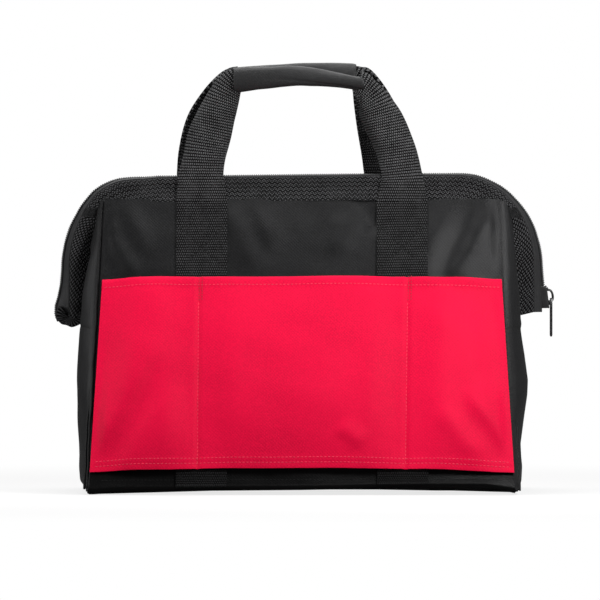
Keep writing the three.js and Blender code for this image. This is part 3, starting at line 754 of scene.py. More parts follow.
# What differs between the two long sides. A fold is a line of creases(). A strap's row is the
# outer edge's x and z, the inner edge's x and z and the depth y of its face. A grip's row is x
# with the height of its top and its bottom.
SIDES = {
    "front": {
        "turn": 1,
        "seed": 3,
        "folds": [
            (139, 236, 134, 201, 16, 8, 3.2), (134, 201, 114, 164, 18, 8, 3.2),
            (110, 236, 90, 166, 14, 16, 3.0), (-132, 230, -118, 188, 9, 8, 1.9),
            (-146, 224, -145, 203, 8, 7, 1.6), (-145, 203, -126, 168, 9, 7, 2.2),
            (-57, 230, -36, 176, 12, 9, 1.8), (-36, 234, -22, 190, 16, 7, 2.2),
            (-14, 230, 2, 204, 12, 9, 0.9), (28, 216, 26, 186, 16, 8, 1.4),
            (41, 236, 57, 204, 13, 8, -3.2),
        ],
        "slack": [
            (-154, 30, -116, 100, 20, 10, 4.2), (-116, 100, -117, 165, 22, 14, 2.4),
            (-136, 6, -100, 66, 9, 24, 1.8), (127, 70, 159, 27, 22, 8, 3.2),
            (105, 56, 130, 22, 8, 9, 2.0), (29, 43, 45, 31, 8, 6, 1.6),
            (-30, 60, 50, 66, 26, 26, 1.2),
        ],
        "strap_left": [
            (-93.9, 217.5, -56.2, 217.5, -20.0), (-93.5, 223, -56.9, 223, -18.6),
            (-93.1, 230, -57.8, 230, -17.2), (-92.7, 238, -58.7, 238, -16.2),
            (-89.0, 251, -57.2, 249, -15.5), (-85.0, 270, -53.4, 263, -15.3),
            (-78.6, 284, -50.2, 278, -15.2), (-69.4, 300, -47.0, 291, -15.8),
            (-60.5, 312, -45.6, 299, -17.2), (-53.5, 316.4, -44.0, 302, -18.2),
            (-44, 315.5, -41, 303.5, -17.2),
        ],
        "strap_right": [
            (43, 309.6, 41, 303, -17.0), (50, 310.6, 43.6, 299, -18.0),
            (58.3, 304.5, 43.2, 291, -16.6), (70.7, 289.5, 43.0, 281, -15.4),
            (77.5, 277.7, 47.2, 271, -15.2), (85.2, 257.7, 55.2, 253, -15.3),
            (89.3, 241, 59.4, 238, -15.6), (91.4, 230, 58.4, 230, -17.2),
            (92.8, 223, 57.3, 223, -18.6), (93.7, 217.5, 56.4, 217.5, -20.0),
        ],
        "grip": [
            (-51.0, 317.4, 300.0), (-48.0, 318.2, 299.4), (-40.0, 318.5, 300.4),
            (-22.0, 318.5, 302.4), (-6.0, 318.8, 303.6), (8.0, 317.5, 303.6), (16.0, 316.1, 303.3),
            (30.0, 313.4, 302.5), (40.0, 311.4, 301.2), (46.3, 310.4, 300.4),
        ],
    },
    "rear": {
        "turn": -1,
        "seed": 11,
        "folds": [
            (139, 228, 118, 176, 10, 7, 3.4), (124, 228, 104, 182, 7, 9, -2.4),
            (-140, 228, -110, 174, 7, 12, 3.4), (-122, 226, -102, 180, 7, 7, -2.2),
            (10, 228, -14, 176, 12, 8, 2.2), (36, 224, 44, 174, 8, 8, -1.8),
        ],
        "slack": [
            (-140, 16, -100, 100, 18, 9, 3.6), (10, 40, -40, 120, 26, 26, 1.6),
            (106, 22, 150, 84, 8, 18, 3.4), (100, 50, 146, 110, 16, 16, 1.6),
        ],
        "strap_left": [
            (-92.6, 217.5, -54.6, 217.5, -20.0), (-89.6, 223, -51.9, 223, -18.6),
            (-86.4, 230, -48.6, 230, -17.2), (-84.4, 238, -46.6, 238, -16.2),
            (-82.0, 252, -44.8, 251, -15.5), (-77.0, 272, -42.2, 266, -15.3),
            (-70.0, 290, -39.4, 284, -15.4), (-60.0, 306, -37.8, 298, -16.4),
            (-51.0, 316.2, -37.2, 301.6, -17.8), (-44.0, 318.0, -36.4, 303, -18.0),
            (-36, 316.5, -34, 304.5, -17.2),
        ],
        "strap_right": [
            (48, 316.0, 46, 304, -17.2), (56, 316.6, 48.0, 301, -18.0), (66, 309, 50.4, 295, -16.8),
            (79, 293, 54, 283, -15.4), (87.5, 277, 56.6, 268, -15.2), (92.5, 256, 58.8, 251, -15.4),
            (94.0, 237, 59.6, 237, -15.8), (94.4, 228, 58.6, 228, -17.5),
            (94.3, 217.5, 56.6, 217.5, -20.0),
        ],
        "grip": [
            (-40.5, 320.2, 304.4), (-36.0, 320.7, 303.8), (-16.0, 321.0, 304.0),
            (8.0, 320.6, 303.8), (34.0, 319.2, 302.2), (52.0, 317.4, 300.0),
        ],
    },
}


def wall_wave(side, x, v):
    """How far the sewn cloth of a wall stands out of its plane: its folds above the pocket and
    small ripples, fading to nothing at its seams."""
    edge = np.abs(x) / wall_edge(v)
    held = smooth((1 - edge) / 0.06) * smooth(v / 14) * (1 - 0.66 * smooth((v - 202) / 27))
    folds = smooth((v - 138) / 26) * creases(x, v, side["folds"])
    return held * (folds + 0.4 * ripples(x, v, 52, side["seed"]))


def pocket_low(x):
    """Height of the pocket's lower edge: a parabola, 2 mm higher in the middle."""
    return POCKET_LOW - 0.3 + 2.0 * (1 - (x / BASE_HALF) ** 2) + 0.25 * np.sin(x / 13)


def pocket_high(x):
    """Height of the pocket's upper edge: a little lower in the middle and at its ends."""
    lifted = 1.3 * smooth((1 - np.abs(x) / 150) / 0.5)
    return POCKET_HIGH + 0.2 - 1.5 * np.abs(x / 150) ** 2.4 + 0.3 * np.sin(x / 21) - lifted


def bay_rows(v):
    """Where the two rows of stitches between the pocket's bays run at height v."""
    return -78.0 + 0.8 * v / POCKET_HIGH, 76.8 + 2.4 * v / POCKET_HIGH


def pocket_out(side, x, v):
    """Outer face of the pocket panel: stands on the straps, swells by a half sine between the rows
    of stitches, has soft folds, and is drawn in by a Gaussian along every row."""
    edge = wall_edge(v)
    on_bare_wall, over_strap = 1.5, 3.6
    run = smooth((edge - np.abs(x)) / (edge - STRAP_MIDDLE - STRAP_WIDTH / 2 - 3))
    share = (v - POCKET_LOW) / (POCKET_HIGH - POCKET_LOW)
    swell = 0.8 + 3.6 * np.sin(math.pi * np.clip(share, 0, 1) ** 0.75) + 0.6 * share
    left, right = (np.abs(x - row) for row in bay_rows(v))
    bay = np.minimum(np.minimum(left, right), edge - np.abs(x))
    body = on_bare_wall + (over_strap - on_bare_wall) * run + swell * smooth(bay / 30)
    body += smooth(bay / 10) * creases(x, v, side["slack"])
    body += smooth(bay / 12) * 0.4 * ripples(x, v, 45, side["seed"] + 1)
    near_strap = smooth((STRAP_WIDTH / 2 + 5 - np.abs(np.abs(x) - STRAP_MIDDLE)) / 5)
    lowest = 1.7 + 2.0 * near_strap
    body = lowest + 0.8 * np.logaddexp(0, (body - lowest) / 0.8)
    body -= 1.1 * (np.exp(-((left / 1.7) ** 2)) + np.exp(-((right / 1.7) ** 2)))
    top, low = pocket_high(x), pocket_low(x)
    for stitched in (top - 6.6, low + 4.2, low + 8.0):
        body -= 0.28 * np.exp(-(((v - stitched) / 1.1) ** 2))
    body += 0.45 * smooth((v - top + 8.6) / 0.8) + 0.35 * smooth((low + 10 - v) / 0.8)
    body -= 0.5 * smooth((1.5 - np.abs(v - top)) / 1.5)
    return body + WALL_FACE + wall_wave(side, x, v)


def wall_panel(name, side):
    """The wall's cloth: a grid over x and v that runs on round the hem. A row of stitches holds
    the hem."""
    v = np.concatenate([np.linspace(-6, 6, 20), np.linspace(8, WALL_HEIGHT - 0.4, 100)])[:, None]
    x = np.linspace(-1, 1, 170)[None, :] * (wall_edge(v) + 0.4)
    wave = wall_wave(side, x, v)
    outer, inner = on_hem(x, v, wave + WALL_FACE), on_hem(x, v, wave - WALL_FACE)
    build = Build()
    build.shell(outer, inner, cloth_uv(x, v))
    piece = build.make(f"{name}_wall_cloth", wall_cloth, side["turn"])
    start, end = ((0, -BASE_DEPTH / 2, z) for z in (1.5, 10))
    bodies = ("base", f"{name}_wall")
    dress_between(piece, side, bodies, start, end, "black_cloth", f"{name}_wall_panel")

    thread = Build()
    span = np.linspace(-150, 150, 200)
    row = on_hem(span, np.full_like(span, 4.6), WALL_FACE + 0.05)
    stitches(thread, row, np.array([0.0, -1.0, 0.0]), radius=0.3)
    piece = thread.make(f"{name}_hem_stitches", black_thread, side["turn"])
    dress(piece, f"{name}_wall", "black_cloth")


WALL_NORMAL = np.array([0, -math.cos(LEAN), math.sin(LEAN)])


def pocket_panel(name, side):
    """The pocket's cloth: a grid between its lower and upper edge, whose outer face is
    pocket_out(), with its rows of stitches and the tacks at the top of the rows."""
    share = np.linspace(0, 1, 110)[:, None]
    across = np.linspace(-1, 1, 210)[None, :]
    x = across * (wall_edge(POCKET_LOW) + 0.6)
    v = pocket_low(x) + (pocket_high(x) - pocket_low(x)) * share
    x = across * (wall_edge(v) + 0.6 - 1.7 * share)
    v = pocket_low(x) + (pocket_high(x) - pocket_low(x)) * share
    out = pocket_out(side, x, v)
    rolled = 0.5 * smooth(1 - np.minimum(share, 1 - share) / 0.012)
    back = on_wall(x, v, out - POCKET_THICKNESS + rolled)
    build = Build()
    build.shell(on_wall(x, v, out), back, cloth_uv(x, v))
    piece = build.make(f"{name}_pocket_cloth", red_cloth, side["turn"])
    dress(piece, f"{name}_wall", "red_cloth", f"{name}_pocket_panel")

    def row(thread, x, v, **style):
        path = on_wall(x, v, pocket_out(side, x, v) + 0.06)
        stitches(thread, path, WALL_NORMAL, **style)

    thread = Build()
    reach = wall_edge(20) - 2.5
    span = np.linspace(-reach, reach, 160)
    row(thread, span, pocket_low(span) + 4.2)
    row(thread, span, pocket_low(span) + 8.0)
    reach = wall_edge(160) - 2.5
    span = np.linspace(-reach, reach, 160)
    row(thread, span, pocket_high(span) - 6.6)
    rise = np.linspace(POCKET_LOW + 5, 144, 120)
    for place in bay_rows(rise):
        row(thread, place, rise)
    piece = thread.make(f"{name}_pocket_stitches", red_thread, side["turn"])
    dress(piece, f"{name}_wall", "red_cloth")

    tacks = Build()
    rise = np.linspace(145, POCKET_HIGH - 0.5, 30)
    for gap in (0.4, 2.6):
        for place in bay_rows(rise):
            row(tacks, place + gap, rise, pitch=2.2, length=1.6)
    piece = tacks.make(f"{name}_pocket_tacks", tack_thread, side["turn"])
    dress(piece, f"{name}_wall", "red_cloth")


# The box of stitches and the cross in it: each line's two ends, from -1 to 1 across and 0 to 1 up
BOX_LINES = ((-1, 0, 1, 1), (-1, 1, 1, 0), (-1, 1, 1, 1), (-1, 0, -1, 1), (1, 0, 1, 1))


def wall_straps(name, side):
    """Webbing on the wall, dented along its box of stitches and the cross in it."""
    box_height = BOX_HIGH - BOX_LOW
    for sign, hand in both_ends(side):
        middle = sign * STRAP_MIDDLE
        v = np.linspace(-2.2, WALL_HEIGHT - 1.2, 110)[:, None]
        x = middle + np.linspace(-0.5, 0.5, 26)[None, :] * STRAP_WIDTH
        wave = wall_wave(side, x, v) * 0.7
        inside = smooth((v - BOX_LOW + 2) / 2) * smooth((BOX_HIGH + 2 - v) / 2)
        up = v - (BOX_LOW + BOX_HIGH) / 2
        slant = (x - middle) * box_height / (2 * BOX_HALF)
        cross = np.minimum(np.abs(up - slant), np.abs(up + slant))
        dent = 0.7 * inside * np.exp(-((cross / 1.3) ** 2))
        dent = dent + 0.6 * np.exp(-(((v - BOX_HIGH) / 1.1) ** 2))
        round_edge = 0.35 * smooth((np.abs(x - middle) - STRAP_WIDTH / 2 + 1.6) / 1.6)
        out = WALL_FACE + 0.35 + STRAP_RISE + wave - dent - round_edge
        under = WALL_FACE + 0.1 + wave
        build = Build()
        build.shell(on_hem(x, v, out), on_hem(x, v, under), cloth_uv(x - middle, v))
        piece = build.make(f"{name}_wall_strap_{hand}", sewn_webbing, side["turn"])
        bodies = (f"{name}_wall", f"{name}_mouth_frame")
        start, end = ((0, -18, z) for z in (214, 226))
        dress_between(piece, side, bodies, start, end, "webbing", f"{name}_strap_{hand}")

        thread = Build()
        for x0, v0, x1, v1 in BOX_LINES:
            x = middle + np.linspace(x0, x1, 24) * BOX_HALF
            v = BOX_LOW + np.linspace(v0, v1, 24) * box_height
            out = WALL_FACE + 0.35 + wall_wave(side, x, v) * 0.7 + STRAP_RISE - 0.5
            stitches(thread, on_wall(x, v, out), WALL_NORMAL, length=2.3, radius=0.5)
        piece = thread.make(f"{name}_strap_stitches_{hand}", black_thread, side["turn"])
        dress(piece, f"{name}_wall", "webbing")


# The turned seam at the bag's left and right end, as two rolls: (out, beyond the edge, radius)
SEAM_ROLLS = {
    -1: ((-1.3, 2.3, 1.05), (-4.8, 4.2, 1.2)),
    1: ((-7.0, 3.4, 1.0), (-8.4, 4.4, 1.0)),
}


def side_seams(name, side):
    """Turned seam along each side edge: a roll with a second one behind it, thinner at the foot."""
    v = np.linspace(0.5, WALL_HEIGHT - 1, 120)
    wobble = 0.25 * np.sin(v / 9 + side["seed"]) + 0.15 * np.sin(v / 3.7)
    for sign, hand in both_ends(side):
        build = Build()
        for out, beyond, radius in SEAM_ROLLS[sign * side["turn"]]:
            path = on_wall(sign * (wall_edge(v) + beyond + wobble), v, np.full_like(v, out))
            build.rod(path, radius * (smooth(v / 8) * 0.25 + 0.75), 12)
        piece = build.make(f"{name}_side_seam_{hand}", black_cloth, side["turn"])
        dress(piece, f"{name}_wall", "black_cloth", f"{name}_side_welt_{hand}")


def fold_over(visible):
    """Sections of handle webbing that are visible mm wide seen from the front: the middle stays
    flat and both edges turn back, by the angle that halving finds. Returns distance across and
    depth behind, for 25 places of the width."""
    t = np.linspace(-0.5, 0.5, 25)
    step = STRAP_WIDTH / 24
    lean = smooth((np.abs(t) - 0.1) / 0.34)

    def sections(most):
        across = np.cumsum(np.cos(most * lean), axis=1) * step
        depth = np.cumsum(np.sin(most * lean) * np.sign(t), axis=1) * step
        middle, nearest = across.mean(axis=1, keepdims=True), depth.min(axis=1, keepdims=True)
        return across - middle, depth - nearest

    low, high = np.zeros_like(visible), np.full_like(visible, math.pi * 0.98)
    for _ in range(24):
        most = (low + high) / 2
        wide = np.ptp(sections(most)[0], axis=1, keepdims=True) > visible
        low, high = np.where(wide, most, low), np.where(wide, high, most)
    return sections((low + high) / 2)


def handle(name, side):
    """The webbing rises from the wall on both sides and folds into the padded grip."""
    build = Build()
    for run in ("strap_left", "strap_right"):
        strap_run(build, curve(side[run], 84), side["seed"])
    piece = build.make(f"{name}_handle_webbing", strap_webbing, side["turn"])
    bodies = (f"{name}_mouth_frame", f"{name}_handle")
    start, end = ((0, -15.5, z) for z in (SEAM_Z, SEAM_Z + 10))
    dress_between(piece, side, bodies, start, end, "webbing", f"{name}_handle_strap")
    grip_sleeve(name, side)


def strap_run(build, rows, seed):
    """One run of the handle webbing: every row of the table becomes a folded section between its
    two edges, and the back lies behind the face by the thickness."""
    outer, inner, y = rows[:, 0:2], rows[:, 2:4], rows[:, 4:5]
    width = np.linalg.norm(inner - outer, axis=1, keepdims=True)
    across, depth = fold_over(np.minimum(width, STRAP_WIDTH - 0.05))
    gathered = 0.25 + 0.65 * smooth((outer[:, 1:] - 240) / 30)
    gathered -= 0.5 * smooth((outer[:, 1:] - 306) / 9)
    x, z = (
        (outer[:, i : i + 1] + inner[:, i : i + 1]) / 2
        + (inner[:, i : i + 1] - outer[:, i : i + 1]) / width * across
        for i in (0, 1)
    )
    face = stacked(x, y + gathered * depth, z)
    middle = face[:, 12]
    along = arc_length(middle)
    if middle[0, 2] > middle[-1, 2]:
        along = along[-1] - along
    uv = cloth_uv(np.linspace(-0.5, 0.5, 25)[None, :] * STRAP_WIDTH, along[:, None] + 218.5)
    thick = 0.5 + 1.2 * smooth((middle[:, 2] - 212) / 10)[:, None] * np.ones(25)
    face = offset(face, 0.12 * ripples(uv[..., 0], uv[..., 1], 22, seed))
    back = offset(face, thick)
    if back[40, 12, 1] < face[40, 12, 1]:
        back = offset(face, -thick)
    build.shell(face, back, uv)


# How the sleeve's open end turns in: (share of the section's size, distance inwards)
SLEEVE_END = ((0.93, -0.35), (0.8, 0.2), (0.78, 2.5), (0.76, 6.0))


def grip_sleeve(name, side):
    """Padded sleeve: superellipse sections of power 0.8 with small wrinkles and one long crease,
    open at both ends, where its edge turns in."""
    x, top, low = curve(side["grip"], 90).T[:, :, None]
    angle = circle(56)
    half = (top - low) / 2
    depth = 6.3 * (0.86 + 0.14 * (half / 9))
    wrinkle = 0.3 * np.sin(angle * 3 + x / 14 + side["seed"])
    wrinkle = wrinkle + 0.22 * ripples(x, angle * 8, 16, side["seed"])
    fade = smooth((x - x[0]) / 3) * smooth((x[-1] - x) / 3)
    line = math.pi * 1.05 + 0.012 * (x + 20)
    crease = -0.7 * np.exp(-(((angle - line) / 0.13) ** 2)) * smooth((x + 30) / 30)
    scale = 1 + (wrinkle * fade + crease) / 8
    y = depth * rounded(np.cos(angle), 0.8) * scale - 14.5
    z = half * rounded(np.sin(angle), 0.8) * scale + (top + low) / 2
    sections = stacked(x, y, z)

    def turned_in(section, inwards):
        middle = section.mean(axis=0)
        return np.array([
            middle + (section - middle) * share + np.array([inwards * distance, 0, 0])
            for share, distance in SLEEVE_END
        ])

    build = Build()
    first, last = turned_in(sections[0], 1), turned_in(sections[-1], -1)
    build.tube(np.concatenate([first[::-1], sections, last]))
    piece = build.make(f"{name}_grip_sleeve", grip_cloth, side["turn"], sharp=50)
    dress(piece, f"{name}_handle", "grip_cloth", f"{name}_handle_grip")


def binding_section():
    """Section of the folded webbing, as rows of distance from the fold and depth: down the front
    skirt, over the fold, down the back, and up again inside."""
    front, back = -BINDING_OUT, -BINDING_IN
    outside = [
        (-18.9, front + 0.1), (-18.4, front - 0.3), (-16.6, front - 0.25), (-14, front),
        (-11, front), (-8, front), (-5, front - 0.1), (-3, front), (-1.6, front + 0.5),
        (-0.6, front + 1.5), (0, front + 2.8), (0.15, (front + back) / 2), (0, back - 2.4),
        (-0.7, back - 1.1), (-2, back - 0.2), (-5, back), (-10, back), (-15, back), (-18.4, back),
    ]
    inside = [
        (-18.4, back - 1.3), (-12, back - 1.3), (-6, back - 1.4), (-3, back - 1.9),
        (-1.7, back - 3.2), (-1.7, front + 3.2), (-3, front + 1.9), (-6, front + 1.4),
        (-12, front + 1.3), (-18.6, front + 1.2), (-18.9, front + 0.9),
    ]
    return np.array(outside + inside)


def mouth_binding(name, side):
    """Webbing folded over the wire: its section swept along the hoop, with puckered skirts that
    lie on the wall along the top, and stitches near their edge."""
    turn = side["turn"]
    stops = hoop(BINDING_REACH, BINDING_CORNER, BINDING_TOP, BINDING_FEET[::turn], 2.0)
    along = arc_length(stops[:, :2])
    section = binding_section()
    out, y = section[:, 0][None, :], section[:, 1][None, :]
    skirt = smooth((-3 - out) / 12)
    place = along[:, None]
    corner = smooth(1 - np.abs(np.abs(stops[:, 2:3]) - 0.62) / 0.5)
    pucker = 0.32 * np.sin(place / 2.6) * corner + 0.35 * ripples(place, out, 34, side["seed"] + 4)
    over_wall = smooth((stops[:, 3:4] - 0.7) / 0.3)
    drawn_back = 3.6 * over_wall * smooth((-6 - out) / 13)
    y = y + skirt * pucker - np.where(y < -(BINDING_OUT + BINDING_IN) / 2, drawn_back, 0)
    out = out + 0.25 * ripples(place, out * 0 + 3, 40, side["seed"] + 5) * skirt
    out = out * (1 - 0.05 * smooth((150 - stops[:, 1:2]) / 20) * skirt)
    build = Build()
    uv = cloth_uv(arc_length(looped(section))[None, :], np.append(along, along[-1])[:, None])
    build.tube(settle_leg(swept(stops, out, y), turn, out), uv)
    piece = build.make(f"{name}_binding_webbing", binding_webbing, turn)
    dress(piece, f"{name}_mouth_frame", "webbing", f"{name}_mouth_binding")

    thread = Build()
    row = np.full((1, 1), -BINDING_STITCHES)
    line = swept(stops, row, -BINDING_OUT - 0.15 - 3.2 * over_wall)
    line = settle_leg(line, turn, row)[:, 0]
    stitches(thread, line, np.array([0.0, -1.0, 0.0]), pitch=3.0, length=2.0, radius=0.26)
    piece = thread.make(f"{name}_binding_stitches", dark_thread, turn)
    dress(piece, f"{name}_mouth_frame", "webbing")


# Section of the zip's tape from the binding's fold to the coil: (share of the way from the
# binding's hoop to the zip's, distance out, depth)
TAPE_SECTION = (
    (0, 0.3, 1.6 - BINDING_OUT), (0, 0.55, 3.2 - BINDING_OUT), (0, 0.6, -2.4 - BINDING_IN),
    (0.35, 0.2, -0.4 - BINDING_IN), (0.8, -1.2, -4.9), (1, -2.3, -3.6), (1, -2.4, -2.0),
    (1, -2.4, -0.75),
)

# One loop of the coil, as rings: (y, distance out, half width, half height)
COIL_LOOP = np.array([
    (-3.3, -1.3, 0.25, 0.5), (-3.15, -1.3, 0.5, 1.0), (-2.2, -1.2, 0.52, 1.2),
    (-0.9, -1.15, 0.52, 1.2), (-0.2, -1.15, 0.7, 1.3), (0.25, -1.15, 0.62, 1.2),
    (0.5, -1.15, 0.3, 0.6),
])


def zip_tape(name, side):
    """Tape from the binding's fold to the coil: its section swept along both hoops at once."""
    turn = side["turn"]
    binding = hoop(BINDING_REACH, BINDING_CORNER, BINDING_TOP, TAPE_FEET[::turn], 2.0)
    path = hoop(ZIP_REACH, ZIP_CORNER, ZIP_TOP, TAPE_FEET[::turn], 0.5)
    far, near = arc_length(path[:, :2]), arc_length(binding[:, :2])
    share = near / near[-1] * far[-1]
    path = np.stack([np.interp(share, far, path[:, i]) for i in range(4)], axis=1)
    rows = []
    for mix, out, y in TAPE_SECTION:
        row = swept(binding * (1 - mix) + path * mix, np.full((1, 1), out), y)
        on_binding = settle_leg(row.copy(), turn, np.zeros((1, 1)))
        on_coil = flare_coil(slanted(row, turn), turn)
        rows.append((on_binding * (1 - mix) + on_coil * mix)[:, 0])
    face = np.stack(rows, axis=1)
    face[..., 1] += 0.12 * np.sin(near[:, None] / 5.5)
    inward = -stacked(path[:, 2:3], 0, path[:, 3:4])
    uv = cloth_uv(np.linspace(0, 14, len(TAPE_SECTION))[None, :], near[:, None])
    build = Build()
    build.shell(face, face + inward * 0.9, uv)
    piece = build.make(f"{name}_tape", tape_cloth, turn)
    dress(piece, f"{name}_mouth_frame", "zip_tape", f"{name}_zip_tape")


def zip_coil(name, side):
    """One row of the coil's loops on two cords. The rows mesh: each stands a quarter of a pitch
    off the middle, and the rear row is turned round with its side."""
    turn = side["turn"]
    fine = hoop(ZIP_REACH, ZIP_CORNER, ZIP_TOP, COIL_FEET[::turn], 0.4)
    far = arc_length(fine[:, :2])
    count = 2 * int((far[-1] - COIL_PITCH) / COIL_PITCH / 2)
    first = (far[-1] - count * COIL_PITCH) / 2
    y, out, width, tall = COIL_LOOP.T[:, :, None, None]
    cos, sin = np.cos(circle(6))[:, None], np.sin(circle(6))[:, None]
    coil = Build()
    for middle in first + (np.arange(count) + 0.5 + 0.25 * turn) * COIL_PITCH:
        x, z, nx, nz = (np.interp(middle, far, fine[:, i]) for i in range(4))
        along, outward = np.array([nz, 0, -nx]), np.array([nx, 0, nz])
        middle_line = np.array([x, 0, z]) + np.array([0, 1, 0]) * y + outward * out
        rings = middle_line + cos * along * width + sin * outward * tall
        coil.tube(flare_coil(rings, turn))
    for y, radius in ((-2.1, 1.0), (-0.75, 0.9)):
        path = swept(fine[::5], np.full((1, 1), -1.5), y)
        coil.rod(flare_coil(path, turn)[:, 0], radius, 8)
    piece = coil.make(f"{name}_coil", coil_plastic, turn)
    dress(piece, f"{name}_mouth_frame", "zip_coil", f"{name}_zip_teeth")


def end_wrap(name, side):
    """At the zip's closed end the tape and webbing are folded under and sewn to a thick lump: one
    outline in seven slices, smaller at both faces."""
    outline = curve(
        [
            (182.4, 138.5), (184.2, 133.5), (183.0, 128.4), (180.2, 125.4), (176.6, 124.5),
            (172.6, 123.1), (167.6, 124.8), (164.0, 127.4), (162.6, 130.6), (164.8, 134.0),
            (171, 133.2), (176.4, 131.8), (179.0, 134.5), (180.8, 138.6),
        ],
        72,
    )
    middle = outline.mean(axis=0)
    slices = (
        (-12.4, 0.55), (-12.9, 0.86), (-12.5, 1.0), (-8, 1.03), (-4, 1.0), (-1.2, 0.9), (-0.7, 0.6),
    )
    rings = []
    for y, scale in slices:
        x, z = (middle + (outline - middle) * scale).T
        rings.append(stacked(-side["turn"] * x, y, z))
    build = Build()
    build.tube(np.array(rings))
    piece = build.make(f"{name}_zip_end_wrap", binding_webbing, side["turn"])
    dress(piece, f"{name}_mouth_frame", "webbing")


# Bulge of the end panels beyond the wall's edge: (height, at the bag's left end, at its right end)
BULGE = np.array([
    (3.5, 2.5, 2.5), (10, 6.0, 3.7), (20, 7.0, 4.8), (28, 7.3, 4.6), (37, 8.2, 4.8),
    (46, 9.2, 6.6), (60, 10.8, 9.2), (73, 12.2, 11.8), (84, 12.6, 13.0), (104, 12.6, 11.8),
    (118, 12.2, 10.4), (129, 11.6, 9.6), (147, 10.8, 9.4), (172, 7.8, 8.4), (190, 3.6, 7.0),
    (208, 1.8, 4.8), (219, 1.2, 3.0), (240, 0.6, 0.8),
])


def end_bulge(world, z, u):
    """How far the end cloth stands beyond the wall's edge, from its seam there (u 0) towards the
    bag's middle line (u 1): the table's bulge, reached by a quarter sine. world is the sign of x
    at that end of the bag."""
    most = np.interp(z, BULGE[:, 0], BULGE[:, 1 if world < 0 else 2])
    return most * np.sin(np.clip(u / 0.36, 0, 1) * math.pi / 2) ** 0.9


def end_edge(z):
    """Where the end cloth starts along X at height z."""
    return BASE_HALF - (BASE_HALF - MOUTH_HALF) * z / SEAM_Z + END_SEAM


def behind(u):
    """The cloth's seam allowance lies behind the wall's edge."""
    return 3.8 * (1 - smooth(u / 0.05))


# The wall's foot at the end cloths' seam, and the direction into the bag from it
SEAM_FOOT = np.array([0, -BASE_DEPTH / 2, HINGE_Z])
INTO_BAG = np.array([0, math.cos(LEAN), -math.sin(LEAN)])


def end_panel(name, side, sign, hand):
    """Half an end panel: swells below, and tucks in between the legs of the frame above."""
    z = np.concatenate([np.linspace(2.2, 130, 74), np.linspace(132, 199, 30)])[:, None]
    u = np.linspace(0, 1, 44)[None, :]
    edge, depth = end_edge(z), (wall_plane(z) - 1.0) * (1 - u)
    fold = smooth((u - 0.3) / 0.6)
    tuck = (4 + 9 * smooth((z - 40) / 80)) * fold * smooth((z - 14) / 60)
    tuck = tuck + 9 * smooth((z - 126) / 30) * smooth(u / 0.3)
    above = smooth((z - 123) / 16)
    wave = 0.7 * ripples(z, u * 90, 46, side["seed"] + 7 + sign)
    wave = wave * smooth(u / 0.2) * (1 - fold * 0.5) * (1 - above)
    bulge = end_bulge(sign * side["turn"], z, u) * (1 - above * 0.75)
    low = smooth(z / 9)
    x = (edge + bulge - tuck + wave - behind(u)) * low + (edge + 1.0) * (1 - low)
    outer, inner = stacked(sign * x, -depth, z), stacked(sign * (x - 1.9), -depth * 0.99, z)
    build = Build()
    build.shell(outer, inner, cloth_uv(u * 95, z))
    piece = build.make(f"{name}_end_cloth_{hand}", end_cloth, side["turn"])
    bodies = (f"{name}_wall", "base")
    far = SEAM_FOOT + INTO_BAG * 17
    dress_between(piece, side, bodies, SEAM_FOOT, far, "black_cloth", f"end_panel_{hand}")


def end_ear(name, side, sign, hand):
    """The fold of cloth from the wall's upper edge out to the leg of the mouth frame."""
    z = np.linspace(116, 217.5, 64)[:, None]
    u = np.linspace(0, 1, 34)[None, :]
    edge, bulge = end_edge(z), end_bulge(sign * side["turn"], z, u * 0.9)
    settle = smooth((u - 0.42) / 0.55)
    x = edge + 0.35 + bulge * (1 - settle) + np.minimum(158.2 - edge, bulge + 2) * settle
    ripple = 0.5 * ripples(z, u * 60, 38, side["seed"] + sign)
    x = x + ripple * smooth(u / 0.2) * smooth((217 - z) / 20)
    x = x - (2.4 + 5 * smooth((u - 0.3) / 0.4)) * (1 - smooth((z - 116) / 11)) - behind(u)
    seam = wall_plane(z) - 1.0
    y = seam + (np.minimum(BINDING_OUT - 3.2, seam - 1) - seam) * u
    build = Build()
    outer, inner = stacked(sign * x, -y, z), stacked(sign * (x - 1.4), -y * 0.985, z)
    build.shell(outer, inner, cloth_uv(u * 60, z))
    piece = build.make(f"{name}_ear_cloth_{hand}", end_cloth, side["turn"])
    bodies = (f"{name}_wall", f"{name}_mouth_frame")
    far, node = SEAM_FOOT + INTO_BAG * 13.6, f"{name}_end_fold_{hand}"
    dress_between(piece, side, bodies, SEAM_FOOT, far, "black_cloth", node)


# The base's section: (distance inside its edge, height)
BASE_SECTION = (
    (60, 0.0), (6, 0.0), (1.2, 0.05), (0.3, 0.6), (0, 1.6), (0.3, 2.6), (1.2, 3.1), (6, 3.2),
    (60, 3.2),
)


